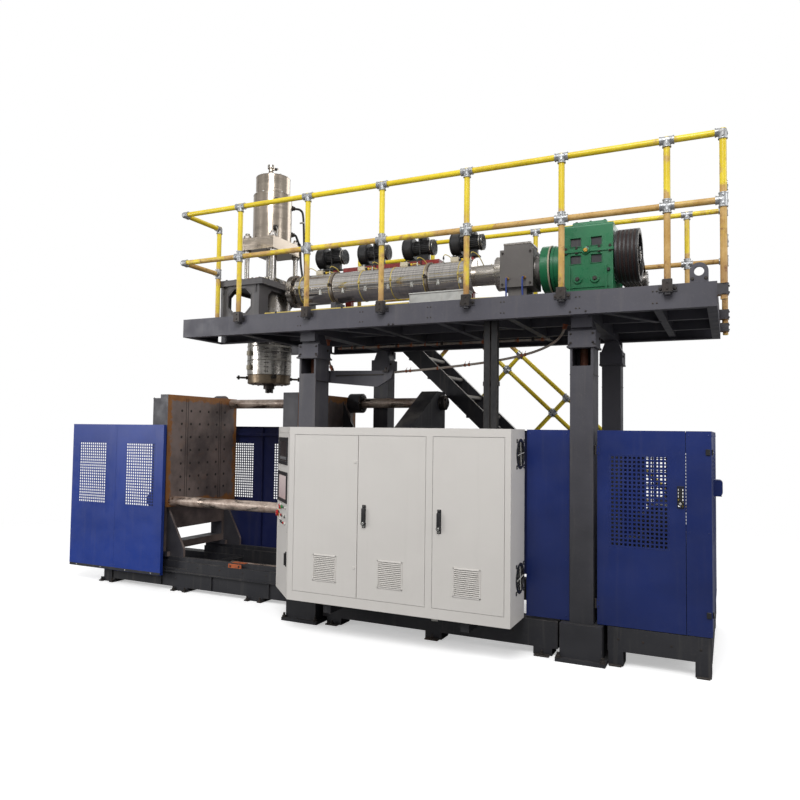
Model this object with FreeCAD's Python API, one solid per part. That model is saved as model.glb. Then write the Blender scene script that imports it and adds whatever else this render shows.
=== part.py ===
import FreeCAD, Part
import math
import os

# Accumulator-head extrusion blow moulding machine. Millimetres, +Z up, +X along the machine
# from the mould end to the drive end, -Y towards the operator. Y = 0 is the line of the
# extruder, the die and the mould centre; Z = 0 is the floor.

os.makedirs("parts", exist_ok=True)
V = FreeCAD.Vector
X_AXIS, Y_AXIS, Z_AXIS = V(1, 0, 0), V(0, 1, 0), V(0, 0, 1)

# ---- driving dimensions -------------------------------------------------------------
SHEET = 3.0                     # folded guard and cabinet sheet
RUN_GAP = 0.08                  # radial clearance of sliding and turning fits

PLATFORM_X = (-1475.0, 3430.0)
PLATFORM_Y = (-1125.0, 740.0)
BEAM_Z = (2680.0, 2860.0)       # underside and top of the platform beams
DECK_T = 6.0
DECK_Z = BEAM_Z[1] + DECK_T
CHANNEL_W = 70.0
CHANNEL_T = 10.0
WELL_X = -810.0                 # the well for the die head lies left of this
CROSS_BEAM_X = (560.0, 1210.0, 1850.0, 3010.0)
WALK_Y = -530.0                 # inner edge of the walkway beside the well
LIFT = 150.0                    # travel of the platform on its screws

COLUMN_X = (-90.0, 2450.0)
COLUMN_Y = {"front": (-970.0, -730.0), "rear": (566.0, 740.0)}
COLUMN_W, COLUMN_T = 180.0, 12.0
COLUMN_TOP = 2440.0
CAP_T = 15.0
WINDOW_UP = (2296.0, 2436.0)    # height of the window that shows the lifting screw
BASE_W, BASE_H, FOOT_W, FOOT_T = 320.0, 290.0, 380.0, 30.0
BASE_Y = {"front": (-1010.0, -690.0), "rear": (566.0, 800.0)}
FOOT_Y = {"front": (-1040.0, -660.0), "rear": (566.0, 830.0)}
SCREW_R = 30.0

RAIL_R = 24.0                   # handrail tube
RAIL_TOP, RAIL_MID = 3920.0, 3430.0
NEAR_POST_X = (-770.0, 0.0, 765.0, 1550.0, 2330.0, 3100.0)
FAR_POST_X = (1640.0, 3140.0)
FAR_RAIL_X = 450.0
FOOT_Z = (2792.0, 2890.0)       # feet of the posts, clamped to the beam's side
END_POST_Y = 0.0                 # middle post of the rail across the drive end
END_CLAMP_Z = (2750.0, 2832.0)   # clamps of the drive end's posts, bolted to the end beam
RAIL_Y = (PLATFORM_Y[0] - RAIL_R - 2, PLATFORM_Y[1] + RAIL_R + 2)
RAIL_X = (-1470.0, 3474.0)

GUARD_Z = (296.0, 1790.0)       # blue guards of the drive end
GUARD_Y = -930.0
GUARD_END_X = 3380.0
GATE_W, GATE_D = 698.0, 40.0    # one leaf of a sliding gate
GATE_Z = (195.0, 1805.0)
WINDOW_W, WINDOW_Z = 419.0, (905.0, 1597.0)
HOLES_ACROSS, HOLES_UP, HOLE = 13, 22, 19.0

CABINET_X = (0.0, 2000.0)
CABINET_Y = (-1370.0, -980.0)
CABINET_Z = (290.0, 1790.0)
DOOR_Z = (375.0, 1722.0)
DOOR_T = 20.0

BED_Y = 565.0                   # outer faces of the bed's long beams
BED_BEAM = 150.0
BED_Z = (40.0, 232.0, 310.0)    # underside, low top, raised top
RAIL_BAR_H = 40.0
RAIL_BAR_Y = 490.0
SLIDE_Z = BED_Z[2] + RAIL_BAR_H
TRACK_Z = (196.0, 206.0)        # gate track on the bed's outer faces

CLAMP_Z = 1520.0                # centre height of the platens
PLATEN_Y, PLATEN_H = 600.0, 625.0
OUTER_FACE, INNER_FACE = -2145.0, -610.0
TIE_R = 55.0
TIE_Y, TIE_DZ = 500.0, 560.0
CLAMP_TRAVEL = 420.0

DIE_X = -1225.0
STOOL_X = (DIE_X - 253.0, DIE_X + 253.0)
SCREW_LINE_Z = 3310.0           # height of the extruder's axis
HEAD_PLATE_Z = (3298.0, 3360.0)
UPPER_PLATE_Z = (3765.0, 3900.0)
RAM_TRAVEL, PIN_TRAVEL = 250.0, 15.0

GEAR_PULLEY = (-100.0, 3350.0, 235.0)     # y, z, radius
MOTOR_PULLEY = (505.0, 3240.0, 95.0)
PULLEY_X = (2610.0, 2800.0)
BELTS, BELT_W, BELT_H = 5, 17.0, 13.0

STAIR_TOP_X, STAIR_RISERS = 150.0, 13
STAIR_Y = (752.0, 1346.0)
STAIR_RUN = 234.0
STAIR_RAIL = (660.0, 430.0)     # rails above the stringer's upper edge, square to the slope
STAIR_POST_PITCH = 736.0        # post to post along the slope
STAIR_LAST_POST = 3640.0        # lowest post, measured down the slope

FAN_R, FAN_Y = 95.0, -1103.0
FAN_Z = {"upper": 1595.0, "lower": 622.0}
SCREENS = ((390.0, (1460.0, 1684.0)), (400.0, (1118.0, 1371.0)))     # width and height of each

JACKETS = ((-800.0, -358.0), (-322.0, 742.0), (778.0, 1240.0))       # covers of the barrel
STAND_X = (-340.0, 760.0)       # stands under the barrel
BLOWER_Y = 400.0
BLOWER_X = (-823.0, -271.0, 281.0, 835.0)

HOSE_R = 11.0                   # slack hose under the platform, from the head to its far end
HOSE_ROUTE = ((-180.0, -450.0, 2676.0), (-186.0, -450.0, 2560.0), (-168.0, -450.0, 2450.0),
              (-110.0, -450.0, 2345.0), (-20.0, -450.0, 2298.0), (115.0, -450.0, 2288.0),
              (300.0, -450.0, 2306.0), (560.0, -450.0, 2336.0), (860.0, -450.0, 2350.0),
              (1160.0, -450.0, 2372.0), (1450.0, -450.0, 2396.0), (1720.0, -450.0, 2431.0),
              (1950.0, -450.0, 2480.0), (2120.0, -450.0, 2552.0), (2200.0, -450.0, 2640.0),
              (2215.0, -450.0, 2710.0))


# ---- helpers -------------------------------------------------------------------------
def box(x, y, z):
    """A block between the pairs x, y and z."""
    return Part.makeBox(x[1] - x[0], y[1] - y[0], z[1] - z[0], V(x[0], y[0], z[0]))


def around(centre, width):
    """The pair of values half a width either side of centre."""
    return (centre - width / 2, centre + width / 2)


def bar(radius, start, axis, length):
    return Part.makeCylinder(radius, length, V(*start), axis)


def ring(outer, inner, start, axis, length):
    return bar(outer, start, axis, length).cut(bar(inner, start, axis, length))


def rod(radius, a, b):
    """A round bar from point a to point b."""
    a, b = V(*a), V(*b)
    return Part.makeCylinder(radius, (b - a).Length, a, b - a)


def prism(points, plane, low, high):
    """A polygon given in the xy, xz or yz plane, extruded between low and high."""
    place = {"xy": lambda p: V(p[0], p[1], low), "xz": lambda p: V(p[0], low, p[1]),
             "yz": lambda p: V(low, p[0], p[1])}[plane]
    along = {"xy": Z_AXIS, "xz": Y_AXIS, "yz": X_AXIS}[plane]
    wire = Part.makePolygon([place(p) for p in list(points) + [points[0]]])
    solid = Part.Face(wire).extrude(along * (high - low))
    return solid


def join(shapes):
    return shapes[0].multiFuse(shapes[1:]).removeSplitter()


def group(shapes):
    return Part.makeCompound(shapes)


def save(name, shape):
    solids = shape.Solids
    if not solids or not all(s.isValid() for s in solids):
        raise ValueError(name + " is not made of valid solids")
    shape.exportStep("parts/" + name + ".step")
    saved.append(name)


saved = []


# ---- sheet-metal panels --------------------------------------------------------------
def window_holes(x_mid, z):
    """Corner pairs of the square holes of one ventilated window."""
    pitch_x = WINDOW_W / HOLES_ACROSS
    pitch_z = (z[1] - z[0]) / HOLES_UP
    for i in range(HOLES_ACROSS):
        for k in range(HOLES_UP):
            yield (around(x_mid - WINDOW_W / 2 + (i + 0.5) * pitch_x, HOLE),
                   around(z[0] + (k + 0.5) * pitch_z, HOLE))


def rectangle(u, v, place):
    corners = [(u[0], v[0]), (u[1], v[0]), (u[1], v[1]), (u[0], v[1]), (u[0], v[0])]
    return Part.makePolygon([place(a, b) for a, b in corners])


def punched_sheet(u, z, along_y, at, thickness, windows):
    """A flat sheet with square-hole windows. It runs along X, or along Y if along_y is set."""
    if along_y:
        place, normal = (lambda a, b: V(at, a, b)), X_AXIS
    else:
        place, normal = (lambda a, b: V(a, at, b)), Y_AXIS
    wires = [rectangle(u, z, place)]
    for mid in windows:
        wires += [rectangle(hu, hz, place) for hu, hz in window_holes(mid, WINDOW_Z)]
    face = Part.makeFace(wires, "Part::FaceMakerBullseye")
    return face.extrude(normal * thickness)


def pan(x, z, y_face, depth, windows=(), inward=1):
    """A folded pan: a face sheet at y_face with four edges turned back by depth."""
    face_y = y_face if inward > 0 else y_face - SHEET
    back = y_face + inward * depth
    y = (min(y_face, back), max(y_face, back))
    face = punched_sheet(x, z, False, face_y, SHEET, windows)
    edges = [box((x[0], x[0] + SHEET), y, z), box((x[1] - SHEET, x[1]), y, z),
             box(x, y, (z[0], z[0] + SHEET)), box(x, y, (z[1] - SHEET, z[1]))]
    return join([face] + edges)


# ---- columns and base ----------------------------------------------------------------
def shrunk(pair, by):
    return (pair[0] + by, pair[1] - by)


def column(x, row):
    """A welded column with its foot, base box, screw window, cap and lifting nut."""
    y = COLUMN_Y[row]
    side = -1 if row == "front" else 1
    out_y = min(y) if row == "front" else max(y)
    foot = box(around(x, FOOT_W), FOOT_Y[row], (0, FOOT_T))
    base = box(around(x, BASE_W), BASE_Y[row], (FOOT_T, BASE_H))
    base = base.cut(box(around(x, BASE_W - 2 * COLUMN_T), shrunk(BASE_Y[row], COLUMN_T),
                        (FOOT_T, BASE_H - COLUMN_T)))
    inside = (around(x, COLUMN_W - 2 * COLUMN_T), shrunk(y, COLUMN_T))
    shaft = box(around(x, COLUMN_W), y, (BASE_H - COLUMN_T, COLUMN_TOP))
    shaft = shaft.cut(box(*inside, (BASE_H, COLUMN_TOP)))
    window = box(around(x, 144), sorted((out_y + side, out_y - side * (COLUMN_T + 1))), WINDOW_UP)
    cap = box(around(x, 226), shrunk(y, -20), (COLUMN_TOP, COLUMN_TOP + CAP_T))
    cap = cap.cut(bar(SCREW_R + 8, (x, sum(y) / 2, COLUMN_TOP), Z_AXIS, CAP_T))
    nut = box(*inside, (2160, 2230))
    nut = nut.cut(bar(SCREW_R + RUN_GAP, (x, sum(y) / 2, 2160), Z_AXIS, 70))
    return join([foot, base, shaft.cut(window), cap, nut])


def side_arm(x, y):
    """A hose-carrying arm welded to the inner side of the front left column."""
    outline = [(-150.0, 2350.0), (660.0, 2330.0), (640.0, 2262.0), (494.0, 2180.0), (-150.0, 2240.0)]
    return [bar(74, (x - 13, y, 2298.0), Y_AXIS, 90), prism(outline, "xz", y + 62, y + 90)]


def columns():
    for row, y in COLUMN_Y.items():
        for end, x in zip(("left", "right"), COLUMN_X):
            shape = column(x, row)
            if (row, end) == ("front", "left"):
                shape = join([shape] + side_arm(x, max(y)))
            save("column_%s_%s" % (row, end), shape)


def base_frame():
    """Floor beams that tie the columns together and carry the drive-end enclosure."""
    inner = (COLUMN_X[0] + FOOT_W / 2 + 1, COLUMN_X[1] - FOOT_W / 2 - 1)
    right = (COLUMN_X[1] + FOOT_W / 2 + 1, GUARD_END_X - 4)
    low, high = (60.0, 270.0), (110.0, 290.0)
    front_y, rear_y = (-930.0, -770.0), (570.0, 700.0)
    parts = [box(inner, front_y, low), box(inner, rear_y, low),
             box(right, front_y, high), box(right, rear_y, high),
             box((right[1] - 90, right[1]), (front_y[1], rear_y[0]), high),
             box((right[0], right[0] + 90), (front_y[1], rear_y[0]), high),
             box((3120.0, 3210.0), (front_y[1], rear_y[0]), high)]
    parts += [box(around(x, 90), (front_y[1], rear_y[0]), (100.0, 270.0)) for x in (1450.0, 2150.0)]
    parts += [box(around(x, 70), (-1300.0, front_y[0]), (200.0, 270.0)) for x in (365.0, 1615.0)]
    parts += [box(around(x, 60), (-1270.0, -1210.0), (270.0, CABINET_Z[0])) for x in (365.0, 1615.0)]
    for x in (inner[0] + 120, 1200.0, inner[1] - 120):
        for y in (front_y, rear_y):
            parts.append(box(around(x, 150), y, (0, low[0])))
    for x in (right[0] + 60, right[1] - 60):
        for y in (front_y, rear_y):
            parts.append(box(around(x, 110), y, (0, high[0])))
    save("base_frame", group(parts))


def machine_bed():
    """The clamp's bed: two long beams, raised in the middle, on cross members and pads."""
    x0, x1, step = -3075.0, 1340.0, -1845.0
    parts = []
    for side in (-1, 1):
        y = sorted((side * BED_Y, side * (BED_Y - BED_BEAM)))
        parts.append(box((x0, x1), y, BED_Z[:2]))
        parts.append(box((step, x1), y, BED_Z[1:]))
        parts.append(box((-2480.0, step), around(side * RAIL_BAR_Y, 80), BED_Z[1:]))
        for x in (-3000.0, -1925.0, -935.0, 300.0, 1260.0):
            parts.append(box(around(x, 210), around(side * (BED_Y - BED_BEAM / 2), 158), (0, BED_Z[0])))
        track_end = x1 if side < 0 else COLUMN_X[0] - FOOT_W / 2 - 1
        parts.append(box((x0, track_end), sorted((side * BED_Y, side * (BED_Y + 26))), TRACK_Z))
    for x in (-2990.0, -1925.0, -500.0, 480.0, 1250.0):
        inner = BED_Y - BED_BEAM
        parts.append(box(around(x, 150), (-inner, inner), (60.0, 220.0)))
    rails = [box((-2470.0, x1 - 20), around(side * RAIL_BAR_Y, 56), (BED_Z[2], SLIDE_Z))
             for side in (-1, 1)]
    save("machine_bed", group(parts + rails))


# ---- clamp unit ----------------------------------------------------------------------
def tie_places():
    return ((-TIE_Y, CLAMP_Z - TIE_DZ), (TIE_Y, CLAMP_Z + TIE_DZ))


def bored(shape, x0, length, gap):
    for y, z in tie_places():
        shape = shape.cut(bar(TIE_R + gap, (x0, y, z), X_AXIS, length))
    return shape


def legs(x, top):
    """Two box legs with shoes that slide on the bed rails."""
    parts = []
    for side in (-1, 1):
        parts.append(box(x, around(side * RAIL_BAR_Y, 110), (SLIDE_Z + 50, top)))
        parts.append(box((x[0] - 60, x[1] + 60), around(side * RAIL_BAR_Y, 120),
                         (SLIDE_Z, SLIDE_Z + 50)))
    return parts


def clamp_unit():
    bottom, top = CLAMP_Z - PLATEN_H, CLAMP_Z + PLATEN_H
    plate_x = (OUTER_FACE - 110, OUTER_FACE)
    parts = [box(plate_x, (-PLATEN_Y, PLATEN_Y), (bottom, top))]
    rib_x = (plate_x[0] - 115, plate_x[0])
    for y in (-PLATEN_Y + 30, -215.0, 215.0, PLATEN_Y - 30):
        parts.append(box(rib_x, around(y, 40), (bottom, top - 40)))
    for z in (bottom + 20, CLAMP_Z - 200, CLAMP_Z + 200, top - 60):
        parts.append(box(rib_x, (-PLATEN_Y + 10, PLATEN_Y - 10), around(z, 40)))
    parts += [bar(105, (rib_x[0], y, z), X_AXIS, 115) for y, z in tie_places()]
    leg_x = (rib_x[0], OUTER_FACE - 60)
    parts += legs(leg_x, bottom)
    between = (55 - RAIL_BAR_Y, RAIL_BAR_Y - 55)
    parts += [box(leg_x, between, (bottom - 260, bottom)), box(leg_x, between, (SLIDE_Z + 50, SLIDE_Z + 130))]
    for side in (-1, 1):
        y = around(side * RAIL_BAR_Y, 30)
        brace = [(OUTER_FACE - 60, bottom), (OUTER_FACE + 190, SLIDE_Z + 90),
                 (OUTER_FACE + 190, SLIDE_Z), (OUTER_FACE - 60, SLIDE_Z)]
        parts.append(prism(brace, "xz", *y))
    shape = bored(join(parts), rib_x[0] - 10, 400, RUN_GAP / 2)
    save("outer_platen", shape)

    bars_x = (-2440.0, 745.0)
    pieces = []
    for y, z in tie_places():
        pieces.append(bar(TIE_R, (bars_x[0], y, z), X_AXIS, bars_x[1] - bars_x[0]))
        pieces.append(ring(85, TIE_R + RUN_GAP / 2, (rib_x[0] - 60, y, z), X_AXIS, 60))
        pieces.append(ring(78, TIE_R + RUN_GAP / 2, (676.0, y, z), X_AXIS, 58))
    save("tie_bars", group(pieces))

    end_x = (490.0, 676.0)
    yoke = [(620, 2200), (400, 2200), (-620, 1600), (-620, 840), (-400, 840), (620, 1440)]
    parts = [prism(yoke, "yz", *end_x)] + legs((end_x[0] + 20, end_x[1] - 20), 900.0)
    parts.append(box((end_x[0] + 20, end_x[1] - 20), around(RAIL_BAR_Y, 110), (900.0, 1400.0)))
    shape = bored(join(parts), end_x[0] - 10, 220, RUN_GAP / 2)
    shape = shape.cut(bar(150 + RUN_GAP / 2, (end_x[0] - 10, 0, CLAMP_Z), X_AXIS, 220))
    save("end_yoke", shape)

    cyl_x = (-380.0, 790.0)
    barrel = bar(150, (cyl_x[0], 0, CLAMP_Z), X_AXIS, cyl_x[1] - cyl_x[0])
    barrel = join([barrel, bar(190, (cyl_x[0], 0, CLAMP_Z), X_AXIS, 50),
                   bar(190, (676.0 + RUN_GAP, 0, CLAMP_Z), X_AXIS, 60)])
    barrel = barrel.cut(bar(100, (cyl_x[0] + 50, 0, CLAMP_Z), X_AXIS, 1080))
    barrel = barrel.cut(bar(80 + RUN_GAP, (cyl_x[0] - 1, 0, CLAMP_Z), X_AXIS, 60))
    save("clamp_cylinder", barrel)

    plate_x = (INNER_FACE, INNER_FACE + 180)
    parts = [box(plate_x, (-PLATEN_Y, PLATEN_Y), (bottom, top))]
    parts += [bar(110, (plate_x[1], y, z), X_AXIS, 150) for y, z in tie_places()]
    for y in (-PLATEN_Y + 250, 330.0):
        parts.append(prism([(plate_x[1], top - 60), (plate_x[1] + 150, CLAMP_Z + 250),
                            (plate_x[1] + 150, bottom), (plate_x[1], bottom)], "xz", *around(y, 40)))
    parts += legs((plate_x[0] + 40, plate_x[1] + 120), bottom)
    save("inner_platen", bored(join(parts), plate_x[0] - 10, 400, RUN_GAP))
    rod_x = (plate_x[1], 710.0)
    rod_shape = join([bar(80, (rod_x[0], 0, CLAMP_Z), X_AXIS, rod_x[1] - rod_x[0]),
                      bar(100 - RUN_GAP, (rod_x[1] - 60, 0, CLAMP_Z), X_AXIS, 60)])
    save("clamp_rod", rod_shape)


# ---- sliding gates -------------------------------------------------------------------
def gate(x_left, y_face, inward, shoe_y):
    """Two folded leaves side by side on a bottom rail whose shoes ride on the bed."""
    pieces = []
    for i in (0, 1):
        x = (x_left + i * GATE_W, x_left + (i + 1) * GATE_W - 2)
        mid = (x[0] + x[1]) / 2 + (15 if i else -18)
        pieces.append(pan(x, GATE_Z, y_face, GATE_D, (mid,), inward))
    back = y_face + inward * GATE_D
    y = sorted((y_face + inward * 4, back))
    rail = box((x_left + 5, x_left + 2 * GATE_W - 7), y, (GATE_Z[0] - 30, GATE_Z[0]))
    shoes = []
    for x in (x_left + 480, x_left + 2 * GATE_W - 220):
        reach = sorted((back, shoe_y))
        shoes.append(box(around(x, 90), reach, (TRACK_Z[1] + 0.5, TRACK_Z[1] + 44)))
    pieces.append(join([rail] + [box(around(x_left + GATE_W, 1380), sorted((back, back + inward * 6)),
                                     (GATE_Z[0] - 30, GATE_Z[0] + 40))] + shoes))
    return group(pieces)


def gates():
    save("safety_gate", gate(-3503.0, -690.0, 1, -568.0))
    save("rear_gate", gate(-2499.0, 690.0 + GATE_D, -1, 568.0))


# ---- drive-end enclosure -------------------------------------------------------------
def enclosure():
    save("guard_panel_front", pan((2006.0, 2350.0), GUARD_Z, GUARD_Y, 30.0))
    rear = [pan((2546.0, GUARD_END_X - 6), GUARD_Z, 730.0, 30.0, (2960.0,), -1),
            pan((6.0, 2354.0), GUARD_Z, 730.0, 30.0, (), -1)]
    save("guard_panels_rear", group(rear))
    front = box((3206.0, GUARD_END_X - SHEET), (GUARD_Y, GUARD_Y + SHEET), GUARD_Z)
    end = punched_sheet((GUARD_Y, 730.0), GUARD_Z, True, GUARD_END_X - SHEET, SHEET, (-480.0, 280.0))
    lip = box((3206.0, 3206.0 + SHEET), (GUARD_Y, GUARD_Y + 30), GUARD_Z)
    bulge = box((GUARD_END_X, 3446.0), (-250.0, -130.0), (1268.0, 1398.0))
    bulge = bulge.makeFillet(28, [e for e in bulge.Edges if abs(e.tangentAt(0).y) > 0.9
                                  and e.CenterOfMass.x > 3440])
    save("guard_panel_end", group([join([front, lip]), end, bulge]))

    hinge = (2551.0, -936.0)
    x = (2564.0, 3202.0)
    leaf = pan(x, GUARD_Z, GUARD_Y, 30.0, (2872.0,))
    leaf = leaf.cut(box((3150.0, 3186.0), (GUARD_Y - 1, GUARD_Y + 8), (1228.0, 1368.0)))
    knuckles = []
    for z in (455.0, 1635.0):
        knuckles.append(bar(9, (hinge[0], hinge[1], z - 35), Z_AXIS, 70))
        knuckles.append(box((hinge[0], x[0] + 20), (GUARD_Y - 4, GUARD_Y), (z - 35, z + 35)))
    save("guard_door", join([leaf] + knuckles))
    save("guard_handle", lever(3168.0, GUARD_Y, 1228.0, 140.0))


def hydraulic_unit():
    """Oil tank with the pump motor on its cover, which works the clamp and the head."""
    tank = box((2720.0, 3220.0), (-420.0, 320.0), (290.0, 880.0))
    hollow = box((2726.0, 3214.0), (-414.0, 314.0), (298.0, 874.0))
    cover = box((2700.0, 3240.0), (-440.0, 340.0), (880.0, 896.0))
    motor = [box(around(2970.0, 300), around(-150.0, 220), (896.0, 930.0)),
             bar(130, (2970.0, -330.0, 1050.0), Y_AXIS, 380),
             bar(135, (2970.0, 60.0, 1050.0), Y_AXIS, 90),
             box(around(2970.0, 90), around(-50.0, 120), (1150.0, 1215.0))]
    save("hydraulic_unit", join([tank.cut(hollow), cover] + motor))


# ---- control cabinet -----------------------------------------------------------------
def cabinet_outline(inset):
    """Plan of the cabinet: a rectangle with its left end cut at 45 degrees."""
    depth = CABINET_Y[1] - CABINET_Y[0]
    corner = inset * math.tan(math.radians(22.5))
    tip = inset * (1 + math.sqrt(2))
    return [(CABINET_X[0] + corner, CABINET_Y[0] + inset), (CABINET_X[1] - inset, CABINET_Y[0] + inset),
            (CABINET_X[1] - inset, CABINET_Y[1] - inset), (CABINET_X[0] - depth + tip, CABINET_Y[1] - inset)]


def cabinet():
    shell = prism(cabinet_outline(0), "xy", *CABINET_Z)
    inner = prism(cabinet_outline(SHEET), "xy", CABINET_Z[0] + SHEET, CABINET_Z[1] - SHEET)
    shell = shell.cut(inner)
    opening_z = (DOOR_Z[0] - 3, DOOR_Z[1] + 3)
    for x in ((52.0, 1301.0), (1359.0, 1953.0)):
        shell = shell.cut(box(x, (CABINET_Y[0] - 1, CABINET_Y[0] + SHEET + 1), opening_z))
    for z in FAN_Z.values():
        shell = shell.cut(bar(FAN_R + 8, (CABINET_X[1] - SHEET - 1, FAN_Y, z), X_AXIS, SHEET + 2))
    for width, z in SCREENS:
        shell = shell.cut(on_console(box(around(-290.0, width), (-1, SHEET + 1), z)))
    for s, z, r in console_buttons().values():
        shell = shell.cut(on_console(bar(r - 1, (-s, -1, z), Y_AXIS, SHEET + 2)))
    spiders = []
    for z in FAN_Z.values():
        spiders.append(box((1912.0, 1924.0), around(FAN_Y, 230), around(z, 24)))
        spiders.append(bar(20, (1912.0, FAN_Y, z), X_AXIS, 20))
        for side in (-1, 1):
            spiders.append(box((1912.0, CABINET_X[1] - SHEET), around(FAN_Y + side * 110, 10), around(z, 24)))
    save("cabinet_shell", join([shell] + spiders))

    doors = (("left", (55.0, 682.0), 373.0), ("middle", (688.0, 1298.0), 990.0),
             ("right", (1362.0, 1950.0), 1652.0))
    for name, x, vent_x in doors:
        leaf = box(x, (CABINET_Y[0], CABINET_Y[0] + DOOR_T), DOOR_Z)
        leaf = leaf.cut(box((x[0] + 2, x[1] - 2), (CABINET_Y[0] + 2, CABINET_Y[0] + DOOR_T + 1),
                            (DOOR_Z[0] + 2, DOOR_Z[1] - 2)))
        slots = [box(around(vent_x, 196), (CABINET_Y[0] - 1, CABINET_Y[0] + 3), around(492 + 15.5 * i, 5))
                 for i in range(14)]
        save("cabinet_door_" + name, leaf.cut(group(slots)))
    save("door_handle_middle", lever(748.0, CABINET_Y[0], 973.0, 148.0))
    save("door_handle_right", lever(1420.0, CABINET_Y[0], 973.0, 148.0))


def lever(x, y_face, z_low, height):
    """A flush swing lever that turns about the boss at its lower end."""
    stem = box(around(x, 26), (y_face - 26, y_face - 12), (z_low + 24, z_low + height))
    boss = bar(18, (x, y_face - 26, z_low + 24), Y_AXIS, 25.5)
    return join([stem, boss])


def on_console(shape):
    """Moves a shape drawn on a wall along -X, with +Y into the wall, to the 45 degree console."""
    shape.rotate(V(0, 0, 0), Z_AXIS, -45)
    shape.translate(V(CABINET_X[0], CABINET_Y[0], 0))
    return shape


def console_buttons():
    """Name: distance along the console from its front corner, height, button radius."""
    return {"emergency_stop": (490.0, 985.0, 20.0), "start_button": (260.0, 1065.0, 11.0),
            "stop_button": (350.0, 1050.0, 11.0)}


def console_parts():
    screens = [on_console(box(around(-290.0, width - 4), (-2, 34), (z[0] + 2, z[1] - 2)))
               for width, z in SCREENS]
    save("console_screens", group(screens))
    for name, (s, z, r) in console_buttons().items():
        head = bar(r + (8 if name == "emergency_stop" else 3), (-s, -22, z), Y_AXIS, 15)
        stem = bar(r - 2, (-s, -8, z), Y_AXIS, 34)
        save(name, on_console(join([head, stem])))
    rotor_shapes()


def rotor_shapes():
    """Cabinet fan rotors: a hub with blades, turning about X in the side wall."""
    for name, z in FAN_Z.items():
        x = (1934.0, 1964.0)
        hub = bar(34, (x[0], FAN_Y, z), X_AXIS, x[1] - x[0])
        blades = []
        for i in range(5):
            blade = box((-2, 2), (30, FAN_R - 4), (-24, 24))
            blade.rotate(V(0, 0, 0), Y_AXIS, 35)
            blade.translate(V((x[0] + x[1]) / 2, 0, 0))
            blade.rotate(V(0, 0, 0), X_AXIS, 72 * i)
            blade.translate(V(0, FAN_Y, z))
            blades.append(blade)
        save("cabinet_fan_" + name, join([hub] + blades))


# ---- lifting platform ----------------------------------------------------------------
def channel(x, y, side):
    """A rolled channel along its longer direction, its web on the given outer side."""
    solid = box(x, y, BEAM_Z)
    hollow = {"-y": ((x[0] - 1, x[1] + 1), (y[0] + CHANNEL_T, y[1] + 1)),
              "+y": ((x[0] - 1, x[1] + 1), (y[0] - 1, y[1] - CHANNEL_T)),
              "-x": ((x[0] + CHANNEL_T, x[1] + 1), (y[0] - 1, y[1] + 1)),
              "+x": ((x[0] - 1, x[1] - CHANNEL_T), (y[0] - 1, y[1] + 1))}[side]
    inner_z = (BEAM_Z[0] + CHANNEL_T, BEAM_Z[1] - CHANNEL_T)
    return solid.cut(box(hollow[0], hollow[1], inner_z))


def platform():
    (x0, x1), (y0, y1), w = PLATFORM_X, PLATFORM_Y, CHANNEL_W
    inner_y = (y0 + w, y1 - w)
    parts = [channel((x0, x1), (y0, y0 + w), "-y"), channel((WELL_X, x1), (y1 - w, y1), "+y"),
             channel((x1 - w, x1), inner_y, "+x"), channel((x0, x0 + w), (y0 + w, WALK_Y - w), "-x"),
             channel((x0, WELL_X), (WALK_Y - w, WALK_Y), "+y"),
             channel((WELL_X, WELL_X + w), inner_y, "-x"),
             channel((x0, WELL_X), (-WALK_Y, -WALK_Y + w), "-y")]
    crossings = [(WELL_X, WELL_X + w)] + [around(x, 120) for x in COLUMN_X]
    crossings += [around(x, 60) for x in CROSS_BEAM_X] + [(x1 - w, x1)]
    crossings.sort()
    for x in crossings[1:-1]:
        deep = x[1] - x[0] > 100
        parts.append(box(x, inner_y, BEAM_Z if deep else (BEAM_Z[0] + 30, BEAM_Z[1])))
    for before, after in zip(crossings, crossings[1:]):
        for y in (-300.0, 300.0):
            parts.append(box((before[1], after[0]), around(y, 50), (BEAM_Z[0] + 40, BEAM_Z[1])))
    for a, b in (((40.0, -1060.0), (520.0, -330.0)), ((1240.0, -1060.0), (1810.0, -330.0)),
                 ((-740.0, -1060.0), (-180.0, -330.0)), ((2560.0, -1060.0), (2970.0, -330.0))):
        parts.append(diagonal(a, b))
    for row, pair in COLUMN_Y.items():
        y = sum(pair) / 2
        for x in COLUMN_X:
            parts.append(box(around(x, 215), around(y, 230), (COLUMN_TOP + CAP_T, 2575.0)))
            gusset = [(x - 100, 2575), (x + 100, 2575), (x + 60, BEAM_Z[0]), (x - 60, BEAM_Z[0])]
            parts.append(prism(gusset, "xz", *around(y, 140)))
            shelf = y + (-100 if row == "front" else 100)
            parts.append(box(around(x, 160), around(shelf, 60), (2600.0, BEAM_Z[0])))
    parts.append(lug(3311.0, (y0 + 8, y0 + 33)))
    save("platform_frame", group(parts))

    deck_z, near = (BEAM_Z[1], DECK_Z), y0 + 36
    plates = [box((x0 + 35, WELL_X + 6), (near, -562.0), deck_z),
              box((STOOL_X[1] + 2, WELL_X + 6), (-562.0, WALK_Y - 4), deck_z),
              box((WELL_X + 6, x1 - 6), (near, y1 - 6), deck_z)]
    save("deck_plate", group(plates))

    screws = [bar(SCREW_R, (x, sum(y) / 2, 1700.0), Z_AXIS, COLUMN_TOP + CAP_T - 1700.0)
              for y in COLUMN_Y.values() for x in COLUMN_X]
    save("lift_screws", group(screws))


def diagonal(a, b):
    """A flat brace across the underside of the frame."""
    length = math.hypot(b[0] - a[0], b[1] - a[1])
    brace = box((0, length), (-25, 25), (BEAM_Z[0] + 22, BEAM_Z[0] + 30))
    brace.rotate(V(0, 0, 0), Z_AXIS, math.degrees(math.atan2(b[1] - a[1], b[0] - a[0])))
    brace.translate(V(a[0], a[1], 0))
    return brace


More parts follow.
